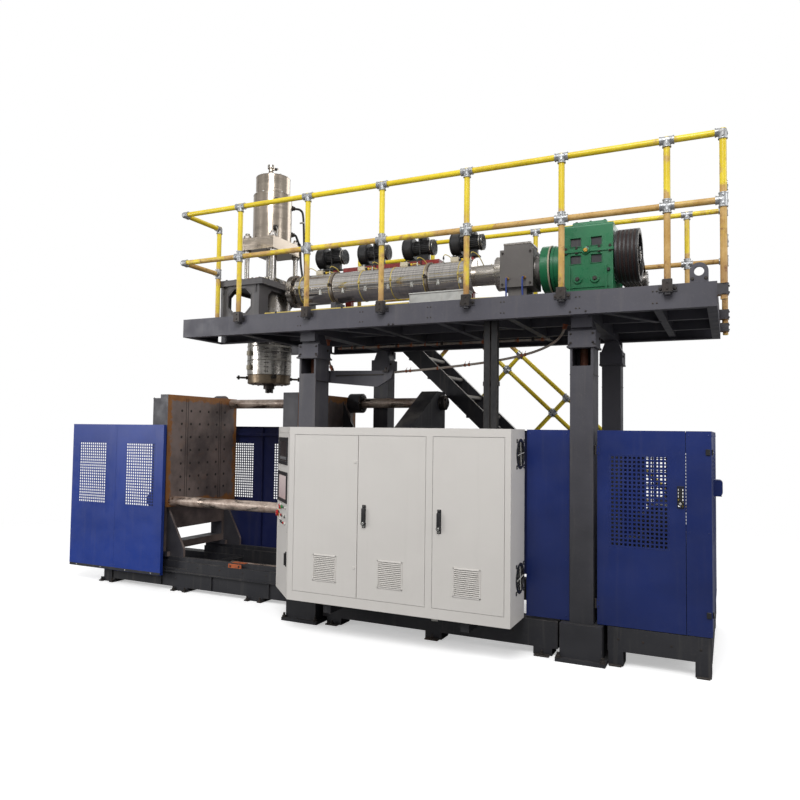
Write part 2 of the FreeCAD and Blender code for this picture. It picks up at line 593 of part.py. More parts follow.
def lug(x, y):
    radius, z = 63.0, BEAM_Z[1] + 82.0
    plate = box((x - radius, x + radius), y, (BEAM_Z[1], z))
    round_top = bar(radius, (x, y[0], z), Y_AXIS, y[1] - y[0])
    return plate.fuse(round_top).cut(bar(34, (x, y[0] - 1, z), Y_AXIS, y[1] - y[0] + 2))


def tube_between(a, b, start_gap=RAIL_R, end_gap=RAIL_R):
    """A rail tube from a to b that stops short of the posts it meets."""
    a, b = V(*a), V(*b)
    along = (b - a).normalize()
    a, b = a + along * start_gap, b - along * end_gap
    return Part.makeCylinder(RAIL_R, (b - a).Length, a, along)


def run_of_rails(places, heights):
    """Rail tubes at each height from each place to the next, given as (x, y)."""
    tubes = []
    for here, there in zip(places, places[1:]):
        tubes += [tube_between((*here, z), (*there, z)) for z in heights]
    return tubes


def handrails():
    """Two-bar handrail of round tube round the deck, with the stair's own rail."""
    (near_y, far_y), (left_x, right_x) = RAIL_Y, RAIL_X
    posts = [(x, near_y) for x in NEAR_POST_X] + [(x, far_y) for x in (FAR_RAIL_X,) + FAR_POST_X]
    corner_left, end_left = (left_x, near_y), (left_x, -618.0)
    corners_right = [(right_x, near_y), (right_x, far_y)]
    pieces = [rod(RAIL_R, (x, y, FOOT_Z[0] - 14), (x, y, RAIL_TOP + RAIL_R)) for x, y in posts]
    end_posts = corners_right + [(right_x, END_POST_Y)]
    pieces += [rod(RAIL_R, (x, y, END_CLAMP_Z[0] - 30), (x, y, RAIL_TOP + RAIL_R)) for x, y in end_posts]
    pieces.append(rod(RAIL_R, (*end_left, BEAM_Z[1]), (*end_left, RAIL_TOP + RAIL_R)))
    heights = (RAIL_TOP, RAIL_MID)
    for z in heights:
        elbow = Part.makeSphere(RAIL_R, V(*corner_left, z))
        to_post = join([elbow, tube_between((*corner_left, z), (*posts[0], z), 0)])
        to_end = tube_between((*corner_left, z), (*end_left, z), 0)
        pieces += [to_post, to_end.cut(to_post)]
    pieces += run_of_rails(posts[:len(NEAR_POST_X)] + [corners_right[0]], heights)
    pieces += run_of_rails([corners_right[0], end_posts[-1], corners_right[1]], heights)
    pieces += run_of_rails(posts[len(NEAR_POST_X):] + [corners_right[1]], heights)
    for x, y in posts:
        pieces.append(socket(x, y, PLATFORM_Y[0] if y < 0 else PLATFORM_Y[1], -1 if y < 0 else 1))
    for x, y in end_posts:
        plate_y = (y - 28, y + 42) if y < 0 else (y - 42, y + 28)
        clamp = box((PLATFORM_X[1], x + 29), plate_y, END_CLAMP_Z)
        pieces.append(clamp.cut(bar(RAIL_R, (x, y, END_CLAMP_Z[0] - 5), Z_AXIS, 200)))
    save("deck_handrail", group(pieces))


def socket(x, y, face_y, side):
    """A side-fixed foot that clasps the lower end of a post against the beam's upper edge."""
    outer = y + side * (RAIL_R + 6)
    body = box(around(x, 66), sorted((face_y, outer)), FOOT_Z)
    ears = box(around(x, 130), sorted((face_y, face_y + side * 8)), (FOOT_Z[0] + 12, BEAM_Z[1] - 10))
    hole = bar(RAIL_R, (x, y, BEAM_Z[0]), Z_AXIS, 300)
    return body.fuse(ears).cut(hole)


def stair():
    """An open stair hung from the deck's rear edge, with a rail on its far side."""
    rise = DECK_Z / STAIR_RISERS
    slope = math.atan2(rise, STAIR_RUN)
    z_low = 45.0
    depth = 205.0                                   # vertical depth of a stringer

    def line(x):
        return BEAM_Z[1] - (x - STAIR_TOP_X) * math.tan(slope)

    x_end = STAIR_TOP_X + (BEAM_Z[1] - z_low) / math.tan(slope)
    outline = [(STAIR_TOP_X - 130, BEAM_Z[1]), (STAIR_TOP_X, BEAM_Z[1]), (x_end, z_low),
               (x_end - depth / math.tan(slope), z_low), (STAIR_TOP_X - 130, BEAM_Z[1] - depth + 95)]
    parts = []
    for y in (STAIR_Y[0], STAIR_Y[1] - 8):
        parts.append(prism(outline, "xz", y, y + 8))
    inner = shrunk(STAIR_Y, 8)
    for i in range(1, STAIR_RISERS):
        z = DECK_Z - rise * i
        x = STAIR_TOP_X + STAIR_RUN * (i - 1) + 20
        lips = [box(at_x, inner, (z - 60, z - 24)) for at_x in ((x, x + 6), (x + 209, x + 215))]
        parts.append(join([box((x, x + 215), inner, (z - 30, z - 24))] + lips))
    landing_x = STAIR_TOP_X - 620
    landing_y = (PLATFORM_Y[1], STAIR_Y[1])
    landing_end = STAIR_TOP_X - 132
    landing = box((landing_x, landing_end), landing_y, (2790.0, BEAM_Z[1]))
    landing = landing.cut(box((landing_x + 8, landing_end - 8), shrunk(landing_y, 8),
                              (2780.0, BEAM_Z[1] - DECK_T)))
    parts.append(landing)
    parts.append(box((landing_end, STAIR_TOP_X + 16), inner, (BEAM_Z[1] - DECK_T, BEAM_Z[1])))
    save("stair", group(parts))

    y = STAIR_Y[1] + RAIL_R + 2
    down, up = (math.cos(slope), -math.sin(slope)), (math.sin(slope), math.cos(slope))

    def at(along, height):
        return (STAIR_TOP_X + along * down[0] + height * up[0], y,
                BEAM_Z[1] + along * down[1] + height * up[1])

    rail_x = landing_x - RAIL_R - 2
    landing_posts = [(rail_x, PLATFORM_Y[1] + 30), (rail_x, y), (STAIR_TOP_X - 60, y)]
    steps = [240.0 + STAIR_POST_PITCH * i for i in range(5)] + [STAIR_LAST_POST]
    top = STAIR_RAIL[0] + RAIL_R
    pieces = [rod(RAIL_R, (*p, BEAM_Z[0] + 60), (*p, RAIL_TOP + RAIL_R)) for p in landing_posts]
    pieces += [rod(RAIL_R, at(s, -60.0), at(s, top)) for s in steps]
    pieces += run_of_rails(landing_posts, (RAIL_TOP, RAIL_MID))
    for level, height in zip((RAIL_TOP, RAIL_MID), STAIR_RAIL):
        bend = at(100.0, height)
        elbow = Part.makeSphere(RAIL_R, V(*bend))
        upper = join([elbow, tube_between(bend, (*landing_posts[-1], level), 0, 66)])
        pieces += [upper, tube_between(bend, at(steps[0], height), 0).cut(upper)]
        for here, there in zip(steps, steps[1:]):
            pieces.append(tube_between(at(here, height), at(there, height)))
    save("stair_handrail", group(pieces))


# ---- accumulator head ----------------------------------------------------------------
def along_die(radius, z, inner=0.0):
    shape = bar(radius, (DIE_X, 0, z[0]), Z_AXIS, z[1] - z[0])
    if inner:
        shape = shape.cut(bar(inner, (DIE_X, 0, z[0] - 1), Z_AXIS, z[1] - z[0] + 2))
    return shape


def octagon(u, v, cut):
    return [(u[0] + cut, v[0]), (u[1] - cut, v[0]), (u[1], v[0] + cut), (u[1], v[1] - cut),
            (u[1] - cut, v[1]), (u[0] + cut, v[1]), (u[0], v[1] - cut), (u[0], v[0] + cut)]


def accumulator_head():
    x, y = STOOL_X, (-560.0, 560.0)
    wall, z = 18.0, (BEAM_Z[1], HEAD_PLATE_Z[0])
    stool = box(x, y, z).cut(box((x[0] + wall, x[1] - wall), (y[0] + wall, y[1] - wall), z))
    window = (3000.0, 3266.0)
    stool = stool.cut(prism(octagon(around(DIE_X, 300), window, 78), "xz", y[0] - 1, y[1] + 1))
    stool = stool.cut(prism(octagon((-400.0, 400.0), window, 60), "yz", x[0] - 1, x[1] + 1))
    plate = box((DIE_X - 280, -911.0), (-590.0, 590.0), HEAD_PLATE_Z)
    slot_z = (z[1] - 80, HEAD_PLATE_Z[1] + 1)
    plate = plate.cut(along_die(238, HEAD_PLATE_Z)).cut(box((DIE_X, -900.0), (-95.0, 95.0), slot_z))
    stool = stool.cut(box((DIE_X, -900.0), (-95.0, 95.0), slot_z))
    save("head_stool", join([stool, plate]))

    body = join([along_die(225, (2375.0, HEAD_PLATE_Z[1])),
                 box(around(DIE_X, 436), around(0, 560), (HEAD_PLATE_Z[1], HEAD_PLATE_Z[1] + 40)),
                 bar(70, (DIE_X + 100, 0, SCREW_LINE_Z), X_AXIS, -905.0 - DIE_X - 100)])
    top = HEAD_PLATE_Z[1] + 40
    body = body.cut(along_die(150, (2520.0, top - 60))).cut(along_die(80, (2300.0, 2530.0)))
    body = body.cut(along_die(75 + RUN_GAP, (top - 70, top + 1)))
    body = body.cut(bar(25, (DIE_X + 120, 0, SCREW_LINE_Z), X_AXIS, 300))
    save("head_body", body)

    bands = [along_die(245, (low, low + 156), 225) for low in (2379.0, 2538.0, 2697.0)]
    save("heater_bands", group(bands))

    ring_z = (2285.0, 2375.0)
    die = [along_die(238, ring_z, 80)]
    for i in range(4):
        a = math.radians(45 + 90 * i)
        c, s = math.cos(a), math.sin(a)
        z_bolt = 2345.0
        die.append(rod(11, (DIE_X + 238 * c, 238 * s, z_bolt), (DIE_X + 330 * c, 330 * s, z_bolt)))
        die.append(rod(20, (DIE_X + 330 * c, 330 * s, z_bolt), (DIE_X + 345 * c, 345 * s, z_bolt)))
    save("die_ring", join(die))

    prongs = [box(around(DIE_X + 34 * math.cos(a), 22), around(34 * math.sin(a), 22), (2181.0, 2235.0))
              for a in (math.radians(20 + 120 * i) for i in range(3))]
    pin = join([along_die(62, (2225.0, 2470.0)), along_die(30, (2470.0, 4540.0)),
                along_die(100 - RUN_GAP, (4500.0, 4540.0))] + prongs)
    save("die_pin", pin)

    ram = join([along_die(150 - RUN_GAP, (2900.0, 2990.0), 36), along_die(75, (2990.0, 3440.0), 36),
                box(around(DIE_X, 210), around(0, 300), (3440.0, 3480.0)).cut(
                    along_die(36, (3430.0, 3490.0))),
                along_die(60, (3480.0, 4010.0), 36),
                along_die(150 - RUN_GAP, (3960.0, 4010.0), 36)])
    save("head_ram", ram)

    rods = [rod(27, (DIE_X + sx * 172, sy * 225, top), (DIE_X + sx * 172, sy * 225, UPPER_PLATE_Z[0]))
            for sx in (-1, 1) for sy in (-1, 1)]
    save("head_tie_rods", group(rods))

    plate = box(around(DIE_X, 436), around(0, 560), UPPER_PLATE_Z)
    cylinder = join([plate, along_die(217, (UPPER_PLATE_Z[1], 4435.0)), along_die(193, (4435.0, 4645.0))])
    cylinder = cylinder.cut(along_die(150, (3930.0, 4400.0))).cut(along_die(60 + RUN_GAP, (3760.0, 3935.0)))
    cylinder = cylinder.cut(along_die(30 + RUN_GAP, (4390.0, 4470.0))).cut(along_die(100, (4465.0, 4600.0)))
    valve = join([bar(34, (DIE_X - 20, -20, 4645.0), Z_AXIS, 60), bar(26, (DIE_X - 20, -20, 4705.0), Z_AXIS, 55),
                  bar(38, (DIE_X - 20, -20, 4760.0), Z_AXIS, 40),
                  bar(11, (DIE_X - 20, -20, 4745.0), X_AXIS, 95)])
    save("head_cylinder", group([cylinder, valve]))


# ---- extruder and drive --------------------------------------------------------------
def along_screw(radius, x, inner=0.0):
    shape = bar(radius, (x[0], 0, SCREW_LINE_Z), X_AXIS, x[1] - x[0])
    if inner:
        shape = shape.cut(bar(inner, (x[0] - 1, 0, SCREW_LINE_Z), X_AXIS, x[1] - x[0] + 2))
    return shape


def extruder():
    barrel = join([along_screw(100, (-845.0, 1530.0)), along_screw(175, (-905.0, -845.0)),
                   along_screw(165, (1470.0, 1530.0))])
    barrel = barrel.cut(along_screw(50, (-845.0, 1531.0))).cut(along_screw(25, (-906.0, -840.0)))
    save("extruder_barrel", barrel)

    covers = []
    for x in JACKETS:
        covers.append(along_screw(165, x, 161))
        covers[-1] = join([covers[-1], along_screw(161, (x[0], x[0] + 4), 101),
                           along_screw(161, (x[1] - 4, x[1]), 101)])
    save("barrel_covers", group(covers))

    screw = join([along_screw(50 - RUN_GAP, (-835.0, 1700.0)), along_screw(36, (1700.0, 2200.0))])
    save("extruder_screw", screw)

    stands = []
    for x in STAND_X:
        leg = box(around(x, 60), around(0, 200), (DECK_Z + 12, SCREW_LINE_Z - 168))
        foot = box(around(x, 160), around(0, 320), (DECK_Z, DECK_Z + 12))
        hoop = along_screw(178, around(x, 28))
        stands.append(join([leg, foot, hoop]).cut(along_screw(100, around(x, 100))))
    save("barrel_stands", group(stands + blower_beam()))

    feed = box((1530.0, 1850.0), (-160.0, 160.0), (3140.0, 3500.0))
    neck = box((1560.0, 1820.0), (-130.0, 130.0), (3500.0, 3570.0))
    feed = join([feed, neck, along_screw(130, (1850.0, 1925.0)),
                 box((1600.0, 1780.0), (-120.0, 120.0), (DECK_Z, 3140.0))])
    feed = feed.cut(along_screw(50, (1529.0, 1701.0))).cut(along_screw(60, (1700.0, 1926.0)))
    feed = feed.cut(box((1625.0, 1755.0), (-65.0, 65.0), (SCREW_LINE_Z, 3571.0)))
    for sx in (-1, 1):
        for sy in (-1, 1):
            feed = feed.cut(bar(6.5, (1690.0 + sx * 100, sy * 100, 3540.0), Z_AXIS, 31))
    save("feed_housing", feed)

    thrust = join([along_screw(220, (1925.0, 2012.0)), along_screw(150, (2012.0, 2020.0))])
    thrust = thrust.cut(along_screw(60, (1920.0, 2030.0)))

    case_x = (2160.0, 2595.0)
    case = box(case_x, (-300.0, 300.0), (2950.0, 3625.0))
    case = case.makeFillet(22, [e for e in case.Edges if abs(e.tangentAt(0).x) > 0.9])
    lid = box((case_x[0] + 70, case_x[1] - 60), (-230.0, 230.0), (3620.0, 3668.0))
    lid = lid.makeFillet(20, [e for e in lid.Edges if e.CenterOfMass.z > 3660])
    rib = box((case_x[0] - 6, case_x[1] + 6), (-312.0, 312.0), (3372.0, 3400.0))
    foot = box((case_x[0] - 20, case_x[1] + 10), (-325.0, 325.0), (DECK_Z, 2952.0))
    neck = [along_screw(210, (2020.0, 2130.0)), along_screw(160, (2120.0, 2165.0))]
    case = join([case, lid, rib, foot] + neck)
    for col in (2272.0, 2452.0):
        for row in ((3270.0, 3345.0), (3425.0, 3500.0)):
            for side in (-1, 1):
                y = sorted((side * 300, side * 285))
                case = case.cut(box(around(col, 92), (y[0] - 1, y[1] + 1), row))
    case = case.cut(along_screw(60, (2010.0, 2260.0)))
    y, z, _ = GEAR_PULLEY
    case = case.cut(bar(45, (2500.0, y, z), X_AXIS, 110))
    save("gearbox", group([case, thrust]))

    save("gearbox_pulley", pulley(GEAR_PULLEY, bar(44.9, (2505.0, y, z), X_AXIS, PULLEY_X[0] - 2505.0)))
    my, mz, _ = MOTOR_PULLEY
    shaft = bar(30, (2480.0, my, mz), X_AXIS, PULLEY_X[0] - 2480.0)
    save("motor_pulley", pulley(MOTOR_PULLEY, shaft))
    save("drive_belts", group([belt(x) for x in groove_centres()]))

    body = [bar(185, (1990.0, my, mz), X_AXIS, 500), bar(180, (1850.0, my, mz), X_AXIS, 140),
            bar(192, (2490.0, my, mz), X_AXIS, 40),
            box((1930.0, 2155.0), around(my, 200), (3390.0, 3590.0)),
            box((2050.0, 2500.0), around(my, 330), (2920.0, 3110.0)),
            box((1990.0, 2560.0), around(my, 345), (DECK_Z, 2920.0))]
    motor = join(body).cut(bar(30 + RUN_GAP, (2479.0, my, mz), X_AXIS, 60))
    save("main_motor", motor)


def groove_centres():
    pitch = (PULLEY_X[1] - PULLEY_X[0]) / (BELTS + 0.6)
    middle = (PULLEY_X[0] + PULLEY_X[1]) / 2
    return [middle + (i - (BELTS - 1) / 2) * pitch for i in range(BELTS)]


def pulley(place, shaft):
    """A grooved pulley fused to its shaft; the grooves leave room for the belts."""
    y, z, radius = place
    rim = bar(radius, (PULLEY_X[0], y, z), X_AXIS, PULLEY_X[1] - PULLEY_X[0])
    for x in groove_centres():
        rim = rim.cut(ring(radius + 2, radius - BELT_H - 2, (x - BELT_W / 2 - 1, y, z), X_AXIS, BELT_W + 2))
    if radius > 150:
        dish = ring(radius - 45, 75, (PULLEY_X[1] - 60, y, z), X_AXIS, 61)
        rim = rim.cut(dish)
    return join([rim, shaft])


def belt(x):
    """One V-belt as a closed loop round both pulleys."""
    (y1, z1, r1), (y2, z2, r2) = GEAR_PULLEY, MOTOR_PULLEY

    def loop(extra):
        a, b = r1 + extra, r2 + extra
        span = math.hypot(y2 - y1, z2 - z1)
        heading, lean = math.atan2(z2 - z1, y2 - y1), math.acos((a - b) / span)

        def point(cy, cz, r, angle):
            return V(x - BELT_W / 2, cy + r * math.cos(angle), cz + r * math.sin(angle))

        up, low = heading + lean, heading - lean
        p1, p2 = point(y1, z1, a, up), point(y2, z2, b, up)
        p3, p4 = point(y2, z2, b, low), point(y1, z1, a, low)
        edges = [Part.makeLine(p1, p2), Part.Arc(p2, point(y2, z2, b, heading), p3).toShape(),
                 Part.makeLine(p3, p4), Part.Arc(p4, point(y1, z1, a, heading + math.pi), p1).toShape()]
        return Part.Face(Part.Wire(edges)).extrude(X_AXIS * BELT_W)

    return loop(-1.0).cut(loop(-1.0 - BELT_H))


def blowers():
    """Four barrel-cooling blowers; each duct drops behind the beam to the back of a barrel cover."""
    y, z = BLOWER_Y, 3765.0
    units = []
    for x in BLOWER_X:
        volute = bar(112, (x, y, z), X_AXIS, 110)
        duct = prism([(y + 66, z), (y + 112, z), (y + 112, 3290.0), (140.0, 3290.0), (140.0, 3370.0),
                      (y + 66, 3370.0)], "yz", x + 12, x + 98)
        foot = box((x, x + 300), (y - 50, y + 50), (3616.0, 3630.0))
        web = box((x + 150, x + 280), (y - 25, y + 25), (3616.0, z - 50))
        motor = [bar(78, (x + 110, y, z), X_AXIS, 200), bar(84, (x + 310, y, z), X_AXIS, 34)]
        unit = join([volute, duct, foot, web] + motor).cut(along_screw(166, (-900.0, 1500.0)))
        units.append(unit)
    save("cooling_blowers", group(units))


def blower_beam():
    """The beam behind the barrel that carries the blowers, on four posts."""
    y = BLOWER_Y
    beam = [box((-475.0, 700.0), (y - 60, y + 60), (3490.0, 3616.0))]
    for x in (-420.0, 640.0):
        beam.append(box(around(x, 70), around(y, 70), (DECK_Z, 3490.0)))
    for x in (BLOWER_X[0] + 215, BLOWER_X[3] + 215):
        beam.append(box(around(x, 60), around(y, 60), (DECK_Z, 3616.0)))
    return beam


# ---- cables, hoses and small fittings ------------------------------------------------
def tube_along(points, radius):
    """A tube on straight runs joined by tangent arcs as large as the runs allow."""
    pts = [V(*p) for p in points]
    edges, start, radii = [], pts[0], []
    for before, corner, after in zip(pts, pts[1:], pts[2:]):
        back, ahead = (before - corner), (after - corner)
        shorter = 0.45 * min(back.Length, ahead.Length)
        back.normalize()
        ahead.normalize()
        turn = math.pi - back.getAngle(ahead)
        radii.append(shorter / math.tan(turn / 2))
        a, b = corner + back * shorter, corner + ahead * shorter
        bisector = (back + ahead).normalize()
        centre = corner + bisector * (radii[-1] / math.cos(turn / 2))
        middle = centre - bisector * radii[-1]
        edges.append(Part.LineSegment(start, a).toShape())
        edges.append(Part.Arc(a, middle, b).toShape())
        start = b
    edges.append(Part.LineSegment(start, pts[-1]).toShape())
    path = Part.Wire(edges)
    direction = pts[1] - pts[0]
    profile = Part.Wire(Part.makeCircle(radius, pts[0], direction))
    solid = path.makePipeShell([profile], True, False)
    expected = math.pi * radius ** 2 * path.Length
    print("hose length %.0f, smallest bend %.0f, volume ratio %.4f"
          % (path.Length, min(radii), solid.Volume / expected))
    return solid


def cables():
    save("hose_loose", tube_along(HOSE_ROUTE, HOSE_R))
    save("hose_clipped", rod(12.0, (-360.0, 60.0, 2660.0), (1960.0, 60.0, 2660.0)))
    risers = [box(x, (-972.0, -912.0), (1200.0, BEAM_Z[1])) for x in ((1647.0, 1697.0), (1710.0, 1760.0))]
    save("cable_riser", group(risers))


columns()
base_frame()
machine_bed()
clamp_unit()
gates()
enclosure()
hydraulic_unit()
cabinet()
console_parts()
platform()
handrails()
stair()
accumulator_head()
extruder()
blowers()
cables()
print(len(saved), "nodes")
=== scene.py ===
import math
import random

import bmesh
import bpy
from mathutils import Matrix, Vector


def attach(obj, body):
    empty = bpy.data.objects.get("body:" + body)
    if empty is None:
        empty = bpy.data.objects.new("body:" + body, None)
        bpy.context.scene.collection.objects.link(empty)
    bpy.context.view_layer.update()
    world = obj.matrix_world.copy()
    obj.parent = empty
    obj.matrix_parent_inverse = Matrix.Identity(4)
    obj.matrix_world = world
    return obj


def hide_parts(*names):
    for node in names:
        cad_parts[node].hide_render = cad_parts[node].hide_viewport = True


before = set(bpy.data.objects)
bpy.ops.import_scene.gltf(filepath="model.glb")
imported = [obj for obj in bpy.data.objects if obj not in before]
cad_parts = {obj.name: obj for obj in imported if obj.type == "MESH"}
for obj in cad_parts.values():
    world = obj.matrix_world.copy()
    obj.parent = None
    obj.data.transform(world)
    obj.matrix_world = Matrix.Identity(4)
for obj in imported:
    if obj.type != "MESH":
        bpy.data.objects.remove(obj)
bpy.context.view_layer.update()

# Looks of the accumulator-head blow moulding machine. Lengths in the builder are millimetres
# in the frame of the CAD model: +X towards the drive end, -Y towards the operator, +Z up.

MM = 0.001
X, Y, Z = Vector((1, 0, 0)), Vector((0, 1, 0)), Vector((0, 0, 1))


# ---- camera, floor and light ---------------------------------------------------------
EYE = Vector((3.5, -6.55, 1.75))
YAW, PITCH, ROLL = (math.radians(a) for a in (25.1826, 2.6791, 0.7385))
LENS = 31.547
SENSOR = 36.0
WORLD_LIGHT, KEY_LIGHT, SIDE_LIGHT, FILL_LIGHT, BACK_LIGHT = 0.55, 740, 300, 240, 260


def camera_turn():
    """Rotation of a camera that looks along +Y, then turned left, tipped up and rolled."""
    ahead = Vector((-math.sin(YAW), math.cos(YAW), 0)) * math.cos(PITCH) + Z * math.sin(PITCH)
    side = Vector((math.cos(YAW), math.sin(YAW), 0))
    above = side.cross(ahead)
    right = side * math.cos(ROLL) + above * math.sin(ROLL)
    top = above * math.cos(ROLL) - side * math.sin(ROLL)
    return Matrix((right, top, -ahead)).transposed().to_4x4()


def make_camera():
    """Camera at the photographer's place, with the lens of the reference view."""
    data = bpy.data.cameras.new("camera")
    data.lens, data.sensor_width = LENS, SENSOR
    data.clip_end = 200
    camera = bpy.data.objects.new("camera", data)
    camera.matrix_world = Matrix.Translation(EYE) @ camera_turn()
    bpy.context.scene.collection.objects.link(camera)
    bpy.context.scene.camera = camera


def area_light(name, place, target, size, power, colour=(1, 1, 1)):
    """A round area light aimed at target."""
    data = bpy.data.lights.new(name, "AREA")
    data.shape, data.size, data.energy, data.color = "DISK", size, power, colour
    light = bpy.data.objects.new(name, data)
    light.location = place
    light.rotation_euler = (Vector(target) - Vector(place)).to_track_quat("-Z", "Y").to_euler()
    bpy.context.scene.collection.objects.link(light)


def make_world():
    """White behind the machine; a softly banded room, brighter overhead, for light and reflections."""
    world = bpy.data.worlds.new("studio")
    bpy.context.scene.world = world
    world.use_nodes = True
    tree = world.node_tree
    seen = tree.nodes["Background"]
    seen.inputs["Color"].default_value = (1.0, 1.0, 1.0, 1)
    seen.inputs["Strength"].default_value = 1.0
    lit = tree.nodes.new("ShaderNodeBackground")
    place = tree.nodes.new("ShaderNodeTexCoord").outputs["Generated"]
    split = tree.nodes.new("ShaderNodeSeparateXYZ")
    tree.links.new(place, split.inputs[0])
    height = tree.nodes.new("ShaderNodeValToRGB")
    ramp = height.color_ramp
    ramp.elements[0].position, ramp.elements[0].color = 0.0, (0.30, 0.29, 0.28, 1)
    ramp.elements[1].position, ramp.elements[1].color = 1.0, (1.0, 1.0, 1.0, 1)
    for place_at, value in ((0.46, 0.38), (0.52, 0.72), (0.62, 0.95)):
        ramp.elements.new(place_at).color = (value, value, value, 1)
    half = tree.nodes.new("ShaderNodeMapRange")
    half.inputs["From Min"].default_value = -1.0
    tree.links.new(split.outputs[2], half.inputs["Value"])
    tree.links.new(half.outputs["Result"], height.inputs["Fac"])
    stretch = tree.nodes.new("ShaderNodeMapping")
    stretch.inputs["Scale"].default_value = (1.6, 1.6, 9.0)
    tree.links.new(place, stretch.inputs["Vector"])
    bands = tree.nodes.new("ShaderNodeTexNoise")
    bands.inputs["Scale"].default_value = 1.8
    bands.inputs["Detail"].default_value = 3.0
    tree.links.new(stretch.outputs["Vector"], bands.inputs["Vector"])
    level = tree.nodes.new("ShaderNodeMapRange")
    for key, value in (("From Min", 0.35), ("From Max", 0.65), ("To Min", 0.45), ("To Max", 1.35)):
        level.inputs[key].default_value = value
    tree.links.new(bands.outputs["Fac"], level.inputs["Value"])
    strength = tree.nodes.new("ShaderNodeMath")
    strength.operation = "MULTIPLY"
    strength.inputs[1].default_value = WORLD_LIGHT
    tree.links.new(level.outputs["Result"], strength.inputs[0])
    tree.links.new(height.outputs["Color"], lit.inputs["Color"])
    tree.links.new(strength.outputs[0], lit.inputs["Strength"])
    choose = tree.nodes.new("ShaderNodeMixShader")
    tree.links.new(tree.nodes.new("ShaderNodeLightPath").outputs["Is Camera Ray"], choose.inputs[0])
    tree.links.new(lit.outputs[0], choose.inputs[1])
    tree.links.new(seen.outputs[0], choose.inputs[2])
    tree.links.new(choose.outputs[0], tree.nodes["World Output"].inputs["Surface"])


def floor_material():
    """Matt white near the machine, fading with distance; reflections see a grey workshop floor."""
    material = bpy.data.materials.new("floor")
    material.use_nodes = True
    tree = material.node_tree
    shader = tree.nodes["Principled BSDF"]
    shader.inputs["Base Color"].default_value = (0.90, 0.90, 0.90, 1)
    shader.inputs["Roughness"].default_value = 0.8
    shader.inputs["Emission Color"].default_value = (1, 1, 1, 1)
    shader.inputs["Emission Strength"].default_value = 0.42
    length = tree.nodes.new("ShaderNodeVectorMath")
    length.operation = "LENGTH"
    tree.links.new(tree.nodes.new("ShaderNodeTexCoord").outputs["Object"], length.inputs[0])
    fade = tree.nodes.new("ShaderNodeMapRange")
    fade.interpolation_type = "SMOOTHSTEP"
    for key, value in (("From Min", 4.5), ("From Max", 9.0)):
        fade.inputs[key].default_value = value
    tree.links.new(length.outputs["Value"], fade.inputs["Value"])
    clear = tree.nodes.new("ShaderNodeBsdfTransparent")
    blend = tree.nodes.new("ShaderNodeMixShader")
    tree.links.new(fade.outputs["Result"], blend.inputs[0])
    tree.links.new(shader.outputs[0], blend.inputs[1])
    tree.links.new(clear.outputs[0], blend.inputs[2])
    workshop = tree.nodes.new("ShaderNodeBsdfDiffuse")
    workshop.inputs["Color"].default_value = (0.24, 0.24, 0.24, 1)
    choose = tree.nodes.new("ShaderNodeMixShader")
    tree.links.new(tree.nodes.new("ShaderNodeLightPath").outputs["Is Camera Ray"], choose.inputs[0])
    tree.links.new(workshop.outputs[0], choose.inputs[1])
    tree.links.new(blend.outputs[0], choose.inputs[2])
    tree.links.new(choose.outputs[0], tree.nodes["Material Output"].inputs["Surface"])
    return material


def make_studio():
    """World, four lights, and a floor that is part of the stage only."""
    make_world()
    area_light("key", (2.5, -8.5, 9.5), (1.0, 0, 2.6), 6.0, KEY_LIGHT)
    area_light("side", (-8.0, -7.5, 3.6), (-2.0, -1.0, 1.2), 4.0, SIDE_LIGHT)
    area_light("fill", (10.5, -1.5, 4.5), (0.0, 0, 1.4), 5.0, FILL_LIGHT)
    area_light("back", (2.0, 9.0, 8.0), (0, 0, 2.5), 8.0, BACK_LIGHT)
    bpy.context.scene.view_settings.view_transform = "Standard"

    bm = bmesh.new()
    bmesh.ops.create_grid(bm, x_segments=1, y_segments=1, size=60)
    mesh = bpy.data.meshes.new("floor")
    bm.to_mesh(mesh)
    bm.free()
    floor = bpy.data.objects.new("floor", mesh)
    floor.location.z = -0.001
    bpy.context.scene.collection.objects.link(floor)
    material = floor_material()
    mesh.materials.append(material)


make_camera()
make_studio()


